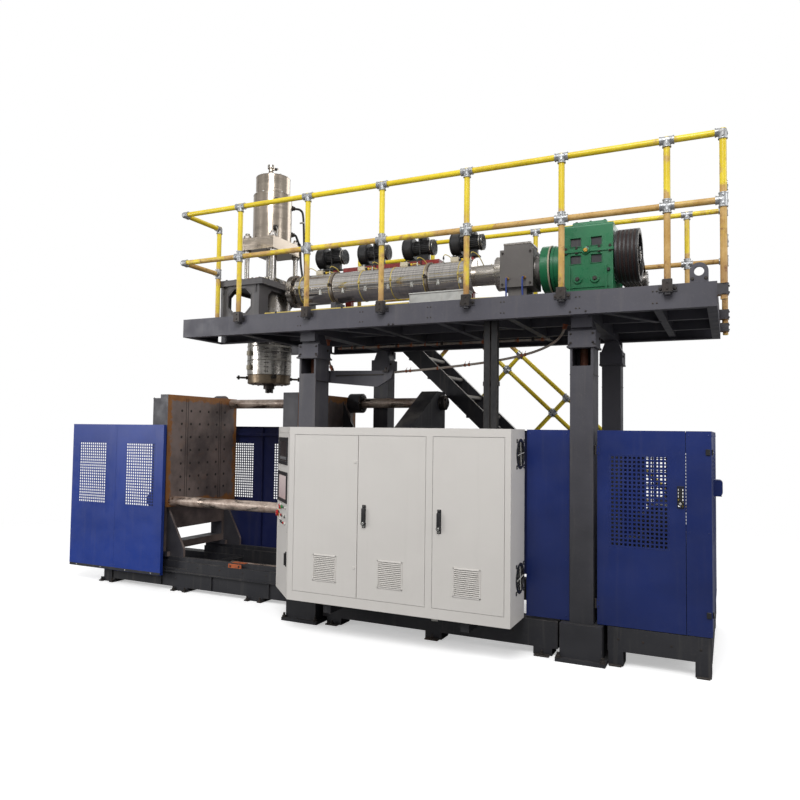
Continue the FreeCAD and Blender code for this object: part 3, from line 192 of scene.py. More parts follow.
# ---- materials -----------------------------------------------------------------------
class Shader:
    """Builds a node material; every method returns the socket that it makes."""

    def __init__(self, name):
        self.material = bpy.data.materials.new(name)
        self.material.use_nodes = True
        self.tree = self.material.node_tree
        self.base = self.tree.nodes["Principled BSDF"]
        self.place = self.node("ShaderNodeTexCoord").outputs["Object"]

    def node(self, kind, **values):
        node = self.tree.nodes.new(kind)
        for key, value in values.items():
            setattr(node, key, value)
        return node

    def link(self, source, socket):
        if isinstance(source, (int, float)):
            socket.default_value = source
        elif isinstance(source, tuple):
            socket.default_value = source if len(source) > 3 or socket.type == "VECTOR" else (*source, 1)
        else:
            self.tree.links.new(source, socket)

    def scaled(self, scale):
        """Object coordinates stretched along each axis."""
        mapping = self.node("ShaderNodeMapping")
        self.link(self.place, mapping.inputs["Vector"])
        mapping.inputs["Scale"].default_value = scale
        return mapping.outputs["Vector"]

    def noise(self, scale, detail=4.0, rough=0.55, stretch=None, distortion=0.0):
        node = self.node("ShaderNodeTexNoise")
        self.link(self.scaled(stretch) if stretch else self.place, node.inputs["Vector"])
        node.inputs["Scale"].default_value = scale
        node.inputs["Detail"].default_value = detail
        node.inputs["Roughness"].default_value = rough
        node.inputs["Distortion"].default_value = distortion
        return node.outputs["Fac"]

    def cells(self, scale, feature="F1", stretch=None):
        node = self.node("ShaderNodeTexVoronoi", feature=feature)
        self.link(self.scaled(stretch) if stretch else self.place, node.inputs["Vector"])
        node.inputs["Scale"].default_value = scale
        return node.outputs["Distance"]

    def ramp(self, source, low, high, out_low=0.0, out_high=1.0):
        node = self.node("ShaderNodeMapRange", interpolation_type="SMOOTHSTEP")
        for key, value in (("From Min", low), ("From Max", high), ("To Min", out_low), ("To Max", out_high)):
            node.inputs[key].default_value = value
        self.link(source, node.inputs["Value"])
        return node.outputs["Result"]

    def sum(self, a, b, kind="ADD"):
        node = self.node("ShaderNodeMath", operation=kind)
        self.link(a, node.inputs[0])
        self.link(b, node.inputs[1])
        return node.outputs[0]

    def times(self, a, b):
        return self.sum(a, b, "MULTIPLY")

    def mix(self, factor, a, b, kind="MIX"):
        node = self.node("ShaderNodeMix", data_type="RGBA", blend_type=kind)
        self.link(factor, node.inputs[0])
        self.link(a, node.inputs[6])
        self.link(b, node.inputs[7])
        return node.outputs[2]

    def part(self, axis, source=None):
        """One coordinate of the object-space position, or of another vector."""
        node = self.node("ShaderNodeSeparateXYZ")
        self.link(source or self.place, node.inputs[0])
        return node.outputs[axis]

    def facing_up(self):
        return self.part(2, self.node("ShaderNodeNewGeometry").outputs["Normal"])

    def edges(self, radius, low=0.02, high=0.25):
        """Mask that is 1 along sharp edges, from the difference of bevelled and true normals."""
        bevel = self.node("ShaderNodeBevel", samples=4)
        bevel.inputs["Radius"].default_value = radius
        dot = self.node("ShaderNodeVectorMath", operation="DOT_PRODUCT")
        self.link(bevel.outputs["Normal"], dot.inputs[0])
        self.link(self.node("ShaderNodeNewGeometry").outputs["Normal"], dot.inputs[1])
        return self.ramp(self.sum(1.0, dot.outputs["Value"], "SUBTRACT"), low, high)

    def bump(self, height, strength, distance):
        node = self.node("ShaderNodeBump")
        node.inputs["Strength"].default_value = strength
        node.inputs["Distance"].default_value = distance
        self.link(height, node.inputs["Height"])
        return node.outputs["Normal"]

    def finish(self, colour, rough, metallic=0.0, normal=None, **other):
        self.link(colour, self.base.inputs["Base Color"])
        self.link(rough, self.base.inputs["Roughness"])
        self.link(metallic, self.base.inputs["Metallic"])
        if normal:
            self.link(normal, self.base.inputs["Normal"])
        for key, value in other.items():
            self.base.inputs[key.replace("_", " ")].default_value = value
        return self.material


def srgb(*values):
    """Linear colour from 0-255 display values."""
    def linear(v):
        v /= 255
        return v / 12.92 if v <= 0.04045 else ((v + 0.055) / 1.055) ** 2.4
    return tuple(linear(v) for v in values)


def tint(colour, factor):
    """A lighter or darker version of a colour."""
    return tuple(min(1.0, c * factor) for c in colour)


def painted(name, colour, rough=0.42, dust=0.25, wear=0.0, under=None, mottle=0.12, peel=0.25,
            dust_colour=srgb(165, 158, 148), streaks=0.0, low_shade=0.0):
    """Enamel or powder coat: uneven tone, orange peel, dust on top faces, runs, worn edges, and painted shade
    that darkens it towards the floor.
    """
    s = Shader(name)
    tone = s.noise(1.7, 5)
    base = s.mix(s.ramp(tone, 0.3, 0.7), tint(colour, 1 - mottle), tint(colour, 1 + mottle))
    if streaks:
        runs = s.ramp(s.noise(5.0, 4, 0.6, stretch=(3.0, 3.0, 0.16)), 0.52, 0.75, 0, streaks)
        base = s.mix(runs, base, tint(dust_colour, 0.55))
    speck = s.ramp(s.noise(46.0, 3, 0.7), 0.55, 0.8)
    lying = s.times(s.ramp(s.facing_up(), 0.25, 0.95, 0.10, 1.0), s.ramp(s.noise(3.1, 6, 0.65), 0.32, 0.72))
    film = s.times(s.sum(lying, s.times(speck, 0.25)), dust)
    base = s.mix(film, base, dust_colour)
    # Painted shade: the colour darkens towards the floor, standing in for the shade low on the machine.
    if low_shade:
        reach = s.sum(s.part(2), s.ramp(s.noise(2.6, 5), 0.3, 0.7, -0.2, 0.2))
        base = s.mix(s.ramp(reach, 1.9, 0.1, 0.0, low_shade), base, srgb(20, 22, 24))
    roughness = s.sum(s.ramp(s.noise(7.0, 4), 0.3, 0.7, rough - 0.06, rough + 0.08), s.times(film, 0.4))
    metallic = 0.0
    if wear:
        scuff = s.ramp(s.noise(24.0, 5, 0.7), 0.46, 0.60)
        bare = s.times(s.times(s.edges(0.004), scuff), wear)
        base = s.mix(bare, base, under or srgb(120, 112, 104))
        metallic = s.times(bare, 0.4)
    normal = s.bump(s.sum(s.noise(260.0, 2), s.times(s.noise(18.0, 3), 0.6)), peel, 0.0006)
    return s.finish(base, roughness, metallic, normal)



def steel(name, colour, rough, brush=None, stain=srgb(120, 84, 56), stained=0.0, dark=0.0, level=(0.5, 0.75),
          mirror=1.0, film=0.1, grain=0.18):
    """Machined metal: tool marks along brush, cloudy tone, oil or rust stains and a little dust."""
    s = Shader(name)
    cloud = s.noise(2.3, 5, 0.6)
    base = s.mix(s.ramp(cloud, 0.3, 0.7), tint(colour, 0.88), tint(colour, 1.10))
    if dark:
        spots = s.ramp(s.noise(8.0, 6, 0.7, distortion=0.6), 0.52, 0.68, 0, dark)
        base = s.mix(spots, base, tint(colour, 0.25))
    marks = s.noise(1.0, 3, 0.6, stretch=brush or (60.0, 60.0, 60.0))
    base = s.mix(s.ramp(marks, 0.3, 0.7), base, tint(colour, 1.16))
    blotch = s.times(s.ramp(s.noise(3.4, 6, 0.68, distortion=0.8), level[0], level[1]), stained)
    base = s.mix(blotch, base, stain)
    lying = s.times(s.ramp(s.facing_up(), 0.3, 1.0), film)
    base = s.mix(lying, base, srgb(168, 160, 150))
    roughness = s.sum(s.ramp(marks, 0.25, 0.75, rough * 0.75, rough * 1.3),
                      s.times(s.sum(blotch, lying), 0.45))
    metallic = s.ramp(s.sum(blotch, lying), 0.0, 1.0, mirror, 0.15)
    normal = s.bump(s.sum(marks, s.times(s.noise(90.0, 3), 0.5)), grain, 0.0004)
    return s.finish(base, roughness, metallic, normal)


def moulded(name, colour, rough=0.45, grain=0.3, dust=0.12, spec=0.5, fade=0.1):
    """Moulded plastic or rubber: fine grain, faded tone and settled dust."""
    s = Shader(name)
    base = s.mix(s.ramp(s.noise(9.0, 4, 0.6), 0.3, 0.7), tint(colour, 1 - fade), tint(colour, 1 + fade))
    wiped = s.ramp(s.noise(14.0, 5, 0.7, distortion=0.5), 0.40, 0.68)
    settled = s.times(s.ramp(s.facing_up(), 0.1, 0.95, 0.12, 1.0), s.times(wiped, dust))
    base = s.mix(settled, base, srgb(160, 152, 142))
    roughness = s.sum(s.ramp(s.noise(30.0, 3), 0.3, 0.7, rough - 0.07, rough + 0.09), s.times(settled, 0.5))
    normal = s.bump(s.sum(s.noise(520.0, 2), s.times(s.cells(300.0), 0.5)), grain, 0.0003)
    return s.finish(base, roughness, 0.0, normal, **{"Specular_IOR_Level": spec})


def weathered(name, colour, stain, amount, rough=0.5, run=(1.0, 1.0, 1.0)):
    """A coat or sleeve with stains and grime worked into it."""
    s = Shader(name)
    base = s.mix(s.ramp(s.noise(5.0, 5, 0.6), 0.3, 0.7), tint(colour, 0.85), tint(colour, 1.12))
    patches = s.ramp(s.noise(6.0, 7, 0.72, stretch=run, distortion=0.9), 0.46, 0.66, 0, amount)
    base = s.mix(patches, base, stain)
    grime = s.ramp(s.noise(28.0, 5, 0.75), 0.55, 0.75, 0, 0.55)
    base = s.mix(grime, base, tint(stain, 0.35))
    roughness = s.ramp(s.noise(12.0, 4), 0.3, 0.7, rough - 0.1, rough + 0.15)
    normal = s.bump(s.sum(s.noise(70.0, 5, 0.7), s.times(patches, 0.6)), 0.35, 0.0009)
    return s.finish(base, roughness, 0.0, normal)


def aged_rail():
    """Rail tube: yellow on the upper bar, scuffed to ochre on the lower bar and posts, grey at the feet."""
    s = Shader("rail_enamel")
    along, height = s.part(0), s.part(2)
    tone = s.mix(s.ramp(s.noise(2.2, 5), 0.3, 0.7), srgb(222, 194, 34), srgb(246, 222, 58))
    scuffed = s.mix(s.ramp(s.noise(6.0, 5, 0.7), 0.3, 0.7), srgb(186, 144, 72), srgb(212, 176, 112))
    on_deck = s.ramp(height, 2.70, 2.74)
    worn = s.sum(s.times(s.ramp(height, 3.60, 3.42, 0.0, 0.75), on_deck), s.ramp(along, 1.4, 3.4, -0.1, 0.22))
    worn = s.sum(worn, s.ramp(s.noise(3.6, 6, 0.7, distortion=0.7), 0.38, 0.64, -0.35, 0.4))
    base = s.mix(s.ramp(worn, 0.2, 0.75), tone, scuffed)
    rub = s.times(s.ramp(s.noise(15.0, 6, 0.75, distortion=0.4), 0.55, 0.68),
                  s.ramp(worn, 0.1, 1.0, 0.15, 0.8))
    low = s.times(s.ramp(height, 3.05, 2.90), on_deck)
    base = s.mix(s.sum(rub, s.times(low, 0.45)), base, srgb(120, 72, 44))
    dust = s.times(s.ramp(s.facing_up(), 0.4, 1.0), s.ramp(s.noise(8.0, 4), 0.35, 0.7, 0, 0.3))
    base = s.mix(dust, base, srgb(200, 192, 170))
    outboard = s.ramp(along, 3.425, 3.43)
    clamps = s.times(s.ramp(height, 2.749, 2.751), s.ramp(height, 2.833, 2.831))
    feet = s.times(s.mix(outboard, s.ramp(height, 2.892, 2.890), clamps), s.ramp(height, 2.60, 2.61))
    near_beam = s.ramp(s.part(1), 0.80, 0.79)
    base = s.mix(s.times(feet, near_beam), base, s.mix(s.noise(20.0, 4), srgb(44, 42, 46), srgb(74, 72, 76)))
    roughness = s.ramp(s.sum(worn, rub), 0.1, 1.4, 0.30, 0.62)
    normal = s.bump(s.sum(s.noise(150.0, 3), s.times(s.noise(22.0, 4), 0.8)), 0.25, 0.0006)
    return s.finish(base, roughness, 0.0, normal)


def barrel_stand():
    """Maroon blower beam with bare steel hoops and dark grey stands under the barrel."""
    s = Shader("stand_and_beam")
    behind = s.ramp(s.part(1), 0.328, 0.330)
    hoop = s.ramp(s.part(2), 3.140, 3.142)
    maroon = s.mix(s.ramp(s.noise(3.0, 5), 0.3, 0.7), srgb(116, 30, 28), srgb(150, 46, 42))
    scale = s.mix(s.ramp(s.noise(9.0, 5, 0.7), 0.35, 0.65), srgb(128, 112, 96), srgb(178, 168, 156))
    grey = s.mix(s.noise(7.0, 4), srgb(50, 50, 56), srgb(80, 78, 82))
    base = s.mix(behind, s.mix(hoop, grey, scale), maroon)
    dust = s.times(s.ramp(s.facing_up(), 0.4, 1.0), s.ramp(s.noise(5.0, 5, 0.7), 0.35, 0.7, 0, 0.45))
    base = s.mix(dust, base, srgb(160, 150, 140))
    metallic = s.times(s.sum(1.0, behind, "SUBTRACT"), s.times(hoop, 0.8))
    roughness = s.sum(s.ramp(s.noise(12.0, 4), 0.3, 0.7, 0.32, 0.48), s.times(dust, 0.3))
    normal = s.bump(s.sum(s.noise(200.0, 2), s.noise(30.0, 4)), 0.25, 0.0006)
    return s.finish(base, roughness, metallic, normal)


def greased_bar():
    """Tie bar smeared with brown and red-brown grease over ground steel."""
    s = Shader("tie_bar_grease")
    base = s.mix(s.ramp(s.noise(1.0, 4, 0.6, stretch=(34.0, 3.0, 3.0)), 0.3, 0.7), srgb(120, 108, 100),
                 srgb(176, 164, 152))
    smear = s.ramp(s.noise(2.4, 7, 0.7, stretch=(1.2, 3.0, 3.0), distortion=1.3), 0.38, 0.56)
    base = s.mix(smear, base, s.mix(s.ramp(s.noise(5.0, 6, 0.7), 0.35, 0.65), srgb(134, 110, 96),
                                    srgb(204, 186, 172)))
    roughness = s.ramp(smear, 0.0, 1.0, 0.26, 0.40)
    metallic = s.ramp(smear, 0.0, 1.0, 0.95, 0.1)
    normal = s.bump(s.sum(s.noise(60.0, 5, 0.7), s.times(smear, 1.2)), 0.4, 0.0015)
    return s.finish(base, roughness, metallic, normal)


def greased_platen():
    """Platen steel: dark casting with orange-brown preserving grease near its edges."""
    s = Shader("platen_grease")
    base = s.mix(s.ramp(s.noise(2.0, 6, 0.65), 0.3, 0.7), srgb(88, 78, 76), srgb(146, 130, 124))
    across = s.sum(s.part(1), 0.0, "ABSOLUTE")
    upward = s.sum(s.sum(s.part(2), 1.52, "SUBTRACT"), 0.0, "ABSOLUTE")
    border = s.sum(s.ramp(across, 0.50, 0.58), s.ramp(upward, 0.52, 0.60), "MAXIMUM")
    on_plate = s.ramp(upward, 0.64, 0.63)
    ragged = s.ramp(s.noise(7.0, 7, 0.72, distortion=0.8), 0.36, 0.62, -0.35, 0.45)
    near_edge = s.ramp(s.sum(s.times(border, on_plate), s.times(ragged, on_plate)), 0.35, 0.85)
    rust = s.mix(s.noise(9.0, 5, 0.7), srgb(132, 78, 36), srgb(190, 128, 56))
    base = s.mix(s.times(near_edge, 0.9), base, rust)
    normal_x = s.part(0, s.node("ShaderNodeNewGeometry").outputs["Normal"])
    flank = s.ramp(s.sum(normal_x, 0.0, "ABSOLUTE"), 0.6, 0.4)
    paint = s.mix(s.noise(5.0, 5), srgb(50, 49, 54), srgb(76, 74, 78))
    base = s.mix(s.times(flank, s.ramp(s.noise(11.0, 6, 0.7), 0.24, 0.34)), base, paint)
    roughness = s.ramp(s.noise(7.0, 5), 0.3, 0.7, 0.34, 0.60)
    normal = s.bump(s.sum(s.noise(45.0, 5, 0.7), s.noise(220.0, 2)), 0.3, 0.001)
    return s.finish(base, roughness, 0.1, normal)


def display(name, low, high, glow, rows=0.0):
    """Glass screen over a softly graded page with plain bands and no lettering."""
    s = Shader(name)
    height = s.part(2)
    page = s.mix(s.ramp(height, 1.12, 1.36), low, high)
    if rows:
        bands = s.ramp(s.part(2, s.scaled((1.0, 1.0, rows))), 0.55, 0.62, 0, 0.35)
        page = s.mix(bands, page, tint(high, 1.2))
    haze = s.ramp(s.noise(24.0, 5, 0.7), 0.45, 0.8, 0, 0.12)
    page = s.mix(haze, page, srgb(150, 146, 142))
    s.link(page, s.base.inputs["Emission Color"])
    s.base.inputs["Emission Strength"].default_value = glow
    smear = s.ramp(s.noise(9.0, 5, 0.7, distortion=1.0), 0.4, 0.7, 0.06, 0.2)
    return s.finish(page, smear, 0.0, s.bump(s.noise(40.0, 2), 0.05, 0.0003), **{"Coat_Weight": 0.6})


PALETTE = {
    "blue": painted("blue_enamel", srgb(25, 55, 138), 0.36, 0.10, 0.4, srgb(90, 96, 125), streaks=0.05),
    # A darker copy of the blue enamel for the drive-end guard: painted shade, and it also darkens towards the
    # floor.
    "blue_guard_shaded": painted("blue_enamel_guard_painted_shade", srgb(21, 42, 108), 0.34, 0.08, 0.4, srgb(90, 96, 125),
                          streaks=0.05, low_shade=0.3),
    "cabinet": painted("cabinet_enamel", srgb(215, 211, 206), 0.46, 0.08, 0.0, mottle=0.02, peel=0.5,
                       streaks=0.03),
    # The frame enamel darkens towards the floor: painted shade.
    "frame": painted("frame_enamel", srgb(72, 71, 78), 0.48, 0.26, 0.6, srgb(130, 122, 112), streaks=0.2,
                     low_shade=0.7),
    "platform": painted("platform_enamel", srgb(76, 75, 84), 0.50, 0.30, 0.5, streaks=0.12),
    "green": painted("green_enamel", srgb(18, 108, 67), 0.30, 0.12, 0.3, mottle=0.18),
    "maroon": painted("maroon_enamel", srgb(140, 42, 38), 0.42, 0.25, 0.3),
    "black": painted("black_moulding", srgb(30, 30, 33), 0.42, 0.16, 0.0),
    "yellow": aged_rail(),
    # A darker copy of the blue enamel for the rear gate and rear panels: painted shade.
    "blue_rear_shaded": painted("blue_enamel_rear_painted_shade", srgb(27, 36, 86), 0.42, 0.2, 0.4, srgb(100, 100, 110),
                         streaks=0.1),
    # The dark frame enamel darkens towards the floor: painted shade.
    "dark_frame": painted("dark_frame_enamel", srgb(46, 46, 52), 0.5, 0.30, 0.6, srgb(120, 112, 104),
                          streaks=0.3, low_shade=0.35),
    "stool": painted("stool_enamel", srgb(84, 82, 84), 0.46, 0.36, 0.5, srgb(140, 128, 112), streaks=0.2),
    "beige": painted("beige_enamel", srgb(176, 164, 140), 0.45, 0.2, 0.3, mottle=0.1),
    "white_metal": painted("white_enamel", srgb(214, 214, 212), 0.4, 0.12, 0.2, mottle=0.05),
    "bright_steel": steel("turned_steel", srgb(186, 180, 172), 0.24, (3.0, 90.0, 90.0), stained=0.35),
    "rod": steel("hard_chrome", srgb(196, 192, 188), 0.14, (8.0, 8.0, 60.0), srgb(110, 76, 52), 0.4),
    "cover_steel": steel("polished_cover", srgb(214, 209, 203), 0.10, (60.0, 3.0, 3.0), stained=0.12,
                         film=0.06, grain=0.03),
    "head_steel": steel("brushed_cylinder", srgb(184, 172, 158), 0.2, (3.0, 3.0, 40.0), srgb(120, 92, 70),
                        0.3, level=(0.56, 0.8), grain=0.05),
    "band_steel": steel("heater_band_sheet", srgb(190, 186, 180), 0.24, (4.0, 4.0, 40.0), srgb(140, 126, 110),
                        0.45),
    "die_steel": steel("die_steel", srgb(132, 118, 100), 0.36, (30.0, 30.0, 120.0), srgb(116, 82, 50), 0.6,
                       0.4, mirror=0.85),
    "dark_steel": steel("oiled_steel", srgb(62, 58, 56), 0.42, None, srgb(84, 54, 38), 0.4, 0.5, mirror=0.6),
    "machined": steel("machined_face", srgb(150, 146, 142), 0.3, (50.0, 50.0, 50.0), srgb(120, 90, 66), 0.4,
                      mirror=0.9),
    "zinc": steel("zinc_plate", srgb(190, 190, 186), 0.34, None, srgb(150, 140, 120), 0.4, 0.2, mirror=0.9),
    "galvanised": steel("galvanised_casting", srgb(172, 174, 176), 0.44, (34.0, 34.0, 34.0),
                        srgb(128, 118, 106), 0.55, 0.25, mirror=0.8, film=0.2),
    "galvanised_dull": steel("galvanised_sheet", srgb(176, 176, 172), 0.5, (16.0, 16.0, 16.0),
                             srgb(150, 142, 130), 0.5, mirror=0.6, film=0.3),
    # Worn tread edges; also the bright strips along the stair stringers, which are painted highlights.
    "worn_edge_and_highlight": steel("worn_tread_and_highlight", srgb(168, 164, 158), 0.38, (14.0, 60.0, 60.0), srgb(96, 84, 74), 0.5,
                       mirror=0.8),
    "brass": steel("brass", srgb(190, 150, 76), 0.28, None, srgb(96, 74, 40), 0.5),
    "copper": steel("copper_pipe", srgb(176, 104, 72), 0.3, None, srgb(84, 52, 38), 0.5),
    "greased_screw": steel("greased_thread", srgb(120, 92, 74), 0.34, (10.0, 10.0, 80.0), srgb(98, 48, 28),
                           0.9, 0.4, (0.35, 0.6), mirror=0.7),
    "tie_bar": greased_bar(),
    "stand": barrel_stand(),
    "platen": greased_platen(),
    "cast": painted("grey_casting", srgb(96, 92, 90), 0.5, 0.4, 0.4, srgb(150, 140, 128), streaks=0.3,
                    peel=0.6),
    "rust_orange": weathered("primer_orange", srgb(176, 90, 48), srgb(104, 58, 38), 0.8),
    "tie_orange": weathered("tape_orange", srgb(182, 106, 70), srgb(120, 70, 52), 0.7),
    "hose_rubber": weathered("hose_grey", srgb(176, 166, 156), srgb(150, 92, 62), 0.75, 0.55,
                             (1.6, 6.0, 6.0)),
    "belt": moulded("belt_rubber", srgb(44, 28, 27), 0.6, 0.6, 0.2, 0.3),
    "rubber": moulded("black_rubber", srgb(24, 23, 24), 0.62, 0.6, 0.3, 0.3),
    "red_plastic": moulded("red_moulding", srgb(178, 26, 24), 0.3, 0.15, 0.1),
    "green_plastic": moulded("green_moulding", srgb(36, 132, 66), 0.3, 0.15, 0.1),
    "white_plastic": moulded("white_moulding", srgb(214, 212, 204), 0.36, 0.2, 0.12),
    "grey_plastic": moulded("grey_moulding", srgb(112, 112, 114), 0.42, 0.3, 0.2),
    "yellow_plastic": moulded("yellow_moulding", srgb(226, 186, 40), 0.4, 0.2, 0.2),
    "beige_plastic": moulded("beige_moulding", srgb(196, 186, 162), 0.42, 0.25, 0.2),
    "cable_yellow": moulded("yellow_sleeve", srgb(198, 176, 88), 0.5, 0.4, 0.3),
    "cable_red": moulded("red_sleeve", srgb(168, 52, 44), 0.5, 0.4, 0.2),
    "cable_black": moulded("black_sleeve", srgb(28, 28, 30), 0.46, 0.4, 0.25),
    "cable_white": moulded("white_sleeve", srgb(190, 186, 178), 0.5, 0.4, 0.2),
    "cable_blue": moulded("blue_sleeve", srgb(44, 66, 140), 0.5, 0.4, 0.2),
    "screen_dark": display("dark_display", srgb(26, 26, 30), srgb(38, 38, 44), 0.05),
    "screen_touch": display("touch_page", srgb(196, 176, 176), srgb(222, 206, 204), 0.35),
}

NODE_LOOK = {
    "blue": ("safety_gate",),
    # The guard takes the darker blue copy, which is painted shade.
    "blue_guard_shaded": ("guard_panel_front", "guard_panel_end", "guard_door"),
    # The rear parts take the darker rear blue, which is painted shade.
    "blue_rear_shaded": ("guard_panels_rear", "rear_gate"),
    "cabinet": ("cabinet_shell", "cabinet_door_left", "cabinet_door_middle", "cabinet_door_right"),
    "frame": ("column_front_left", "column_front_right", "column_rear_left", "column_rear_right",
              "main_motor", "hydraulic_unit"),
    "dark_frame": ("base_frame", "machine_bed", "end_yoke", "stair"),
    "stool": ("head_stool",),
    "platform": ("platform_frame", "deck_plate"),
    "green": ("gearbox",),
    "stand": ("barrel_stands",),
    "yellow": ("deck_handrail", "stair_handrail"),
    "platen": ("outer_platen", "inner_platen"),
    "tie_bar": ("tie_bars",),
    "rod": ("clamp_rod", "head_tie_rods", "head_ram"),
    "machined": ("head_body", "motor_pulley"),
    "cast": ("feed_housing",),
    "head_steel": ("head_cylinder",),
    "band_steel": ("heater_bands",),
    "die_steel": ("die_ring",),
    "dark_steel": ("clamp_cylinder", "die_pin"),
    "greased_screw": ("lift_screws",),
    "bright_steel": ("extruder_barrel", "extruder_screw"),
    "cover_steel": ("barrel_covers",),
    "belt": ("drive_belts",),
    "black": ("cooling_blowers", "gearbox_pulley", "door_handle_middle", "door_handle_right", "guard_handle",
              "cabinet_fan_upper", "cabinet_fan_lower"),
    "cable_black": ("cable_riser",),
    "hose_rubber": ("hose_clipped", "hose_loose"),
    "red_plastic": ("emergency_stop", "stop_button"),
    "green_plastic": ("start_button",),
    "screen_dark": ("console_screens",),
}


def dress(node, material):
    """Gives a CAD node its material."""
    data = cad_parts[node].data
    data.materials.clear()
    data.materials.append(material)


for look, names in NODE_LOOK.items():
    for name in names:
        dress(name, PALETTE[look])


# ---- mesh builder --------------------------------------------------------------------
SMOOTH_ANGLE = math.radians(32)


FRONT, LEFT, DOWN = -Y, -X, -Z


def frame_along(axis):
    """Two unit vectors square to an axis, so that (u, v, axis) is right-handed."""
    axis = Vector(axis).normalized()
    helper = Z if abs(axis.z) < 0.9 else X
    u = helper.cross(axis).normalized()
    return u, axis.cross(u), axis


def placed(place, axis, degrees):
    """Matrix of a turn about X, Y or Z, then a move to place."""
    return Matrix.Translation(Vector(place)) @ Matrix.Rotation(math.radians(degrees), 4, axis)


class Piece:
    """Collects shapes, in millimetres, in one mesh; each takes the material last given to use."""

    def __init__(self, name, material):
        self.name = name
        self.bm = bmesh.new()
        self.materials = []
        self.use(material)

    def use(self, material):
        """Makes a material the current one."""
        material = PALETTE[material]
        if material not in self.materials:
            self.materials.append(material)
        self.index = self.materials.index(material)
        return self

    def add(self, points, faces):
        """Adds points and the faces between them."""
        verts = [self.bm.verts.new(p) for p in points]
        for corners in faces:
            face = self.bm.faces.new([verts[i] for i in corners])
            face.material_index = self.index

    def hull(self, points):
        """Adds the convex hull of some points."""
        part = bmesh.new()
        for p in points:
            part.verts.new(p)
        bmesh.ops.convex_hull(part, input=part.verts)
        bmesh.ops.dissolve_limit(part, angle_limit=0.01, verts=part.verts, edges=part.edges)
        part.verts.index_update()
        self.add([v.co.copy() for v in part.verts], [[v.index for v in f.verts] for f in part.faces])
        part.free()
        return self

    def block(self, x, y, z, edge=1.5, turn=None):
        """A block with chamfered edges; each range in either order, turn is a matrix applied afterwards."""
        x, y, z = sorted(x), sorted(y), sorted(z)
        edge = min(edge, 0.45 * min(x[1] - x[0], y[1] - y[0], z[1] - z[0]))
        points = []
        for i in (0, 1):
            for j in (0, 1):
                for k in (0, 1):
                    corner = Vector((x[i], y[j], z[k]))
                    inward = Vector((1 - 2 * i, 1 - 2 * j, 1 - 2 * k)) * edge
                    for axis in range(3):
                        point = corner + inward
                        point[axis] = corner[axis]
                        points.append(point)
        if turn:
            points = [turn @ p for p in points]
        return self.hull(points)

    def turned(self, start, axis, profile, sides=32, closed=True):
        """A turned solid: profile is (distance along axis, radius) points."""
        u, v, w = frame_along(axis)
        start = Vector(start)
        points, rows = [], []
        for along, radius in profile:
            if radius < 1e-6:
                rows.append([len(points)] * sides)
                points.append(start + w * along)
                continue
            row = []
            for i in range(sides):
                a = 2 * math.pi * i / sides
                row.append(len(points))
                points.append(start + w * along + u * (radius * math.cos(a)) + v * (radius * math.sin(a)))
            rows.append(row)
        faces = []
        for low, high in zip(rows, rows[1:]):
            for i in range(sides):
                j = (i + 1) % sides
                corners = []
                for index in (low[i], low[j], high[j], high[i]):
                    if index not in corners:
                        corners.append(index)
                if len(corners) > 2:
                    faces.append(corners)
        if closed and profile[0][1] > 1e-6:
            faces.append(rows[0][::-1])
        if closed and profile[-1][1] > 1e-6:
            faces.append(rows[-1])
        self.add(points, faces)
        return self

    def bar(self, radius, a, b, sides=28, edge=1.0):
        """A round bar from a to b with chamfered rims."""
        a, b = Vector(a), Vector(b)
        length = (b - a).length
        edge = min(edge, radius * 0.4, length * 0.4)
        return self.turned(a, b - a, [(0, radius - edge), (edge, radius), (length - edge, radius),
                                      (length, radius - edge)], sides)

    def ring(self, outer, inner, a, b, sides=36, edge=1.0):
        """A round tube wall from a to b."""
        a, b = Vector(a), Vector(b)
        length = (b - a).length
        profile = [(0, inner), (0, outer - edge), (edge, outer), (length - edge, outer),
                   (length, outer - edge), (length, inner), (0, inner)]
        return self.turned(a, b - a, profile, sides, closed=False)

    def plate(self, outline, plane, low, high):
        """A polygon in the xy, xz or yz plane, extruded from low to high, in either order."""
        low, high = sorted((low, high))
        place = {"xy": lambda p, w: (p[0], p[1], w), "xz": lambda p, w: (p[0], w, p[1]), "yz": lambda p,
                 w: (w, p[0], p[1])}[plane]
        n = len(outline)
        points = [place(p, low) for p in outline] + [place(p, high) for p in outline]
        faces = [list(range(n))[::-1], list(range(n, 2 * n))]
        faces += [[i, (i + 1) % n, n + (i + 1) % n, n + i] for i in range(n)]
        self.add(points, faces)
        return self

    def hexagon(self, place, axis, across, height, edge=1.2):
        """A hexagon head or nut with chamfered corners, seated at place."""
        u, v, w = frame_along(axis)
        radius = across / math.sqrt(3)
        points = []
        for i in range(6):
            a = math.radians(60 * i)
            out = u * math.cos(a) + v * math.sin(a)
            points.append(Vector(place) + out * radius)
            points.append(Vector(place) + out * radius + w * (height - edge))
            points.append(Vector(place) + out * (radius - edge) + w * height)
        return self.hull(points)

    def bolt(self, place, axis, size, washer=True, stub=0.0):
        """A hexagon bolt head of thread size, on a washer, with an optional thread stub."""
        w = Vector(axis).normalized()
        place = Vector(place)
        if washer:
            self.turned(place, w, [(0, size * 1.05), (size * 0.12, size * 1.05), (size * 0.16, size)], 20)
        self.hexagon(place + w * size * 0.14, w, size * 1.55, size * 0.68)
        if stub:
            self.turned(place + w * size * 0.6, w, [(0, size * 0.5), (stub, size * 0.5),
                                                    (stub + 1, size * 0.42)], 12)
        return self

    def socket_screw(self, place, axis, size):
        """A cylinder-head screw with a recessed hexagon."""
        r, h = size * 0.75, size
        return self.turned(place, axis, [(0, r), (h - 1, r), (h, r - 1), (h, r * 0.52), (h * 0.45, r * 0.5),
                                         (h * 0.4, 0)], 18)

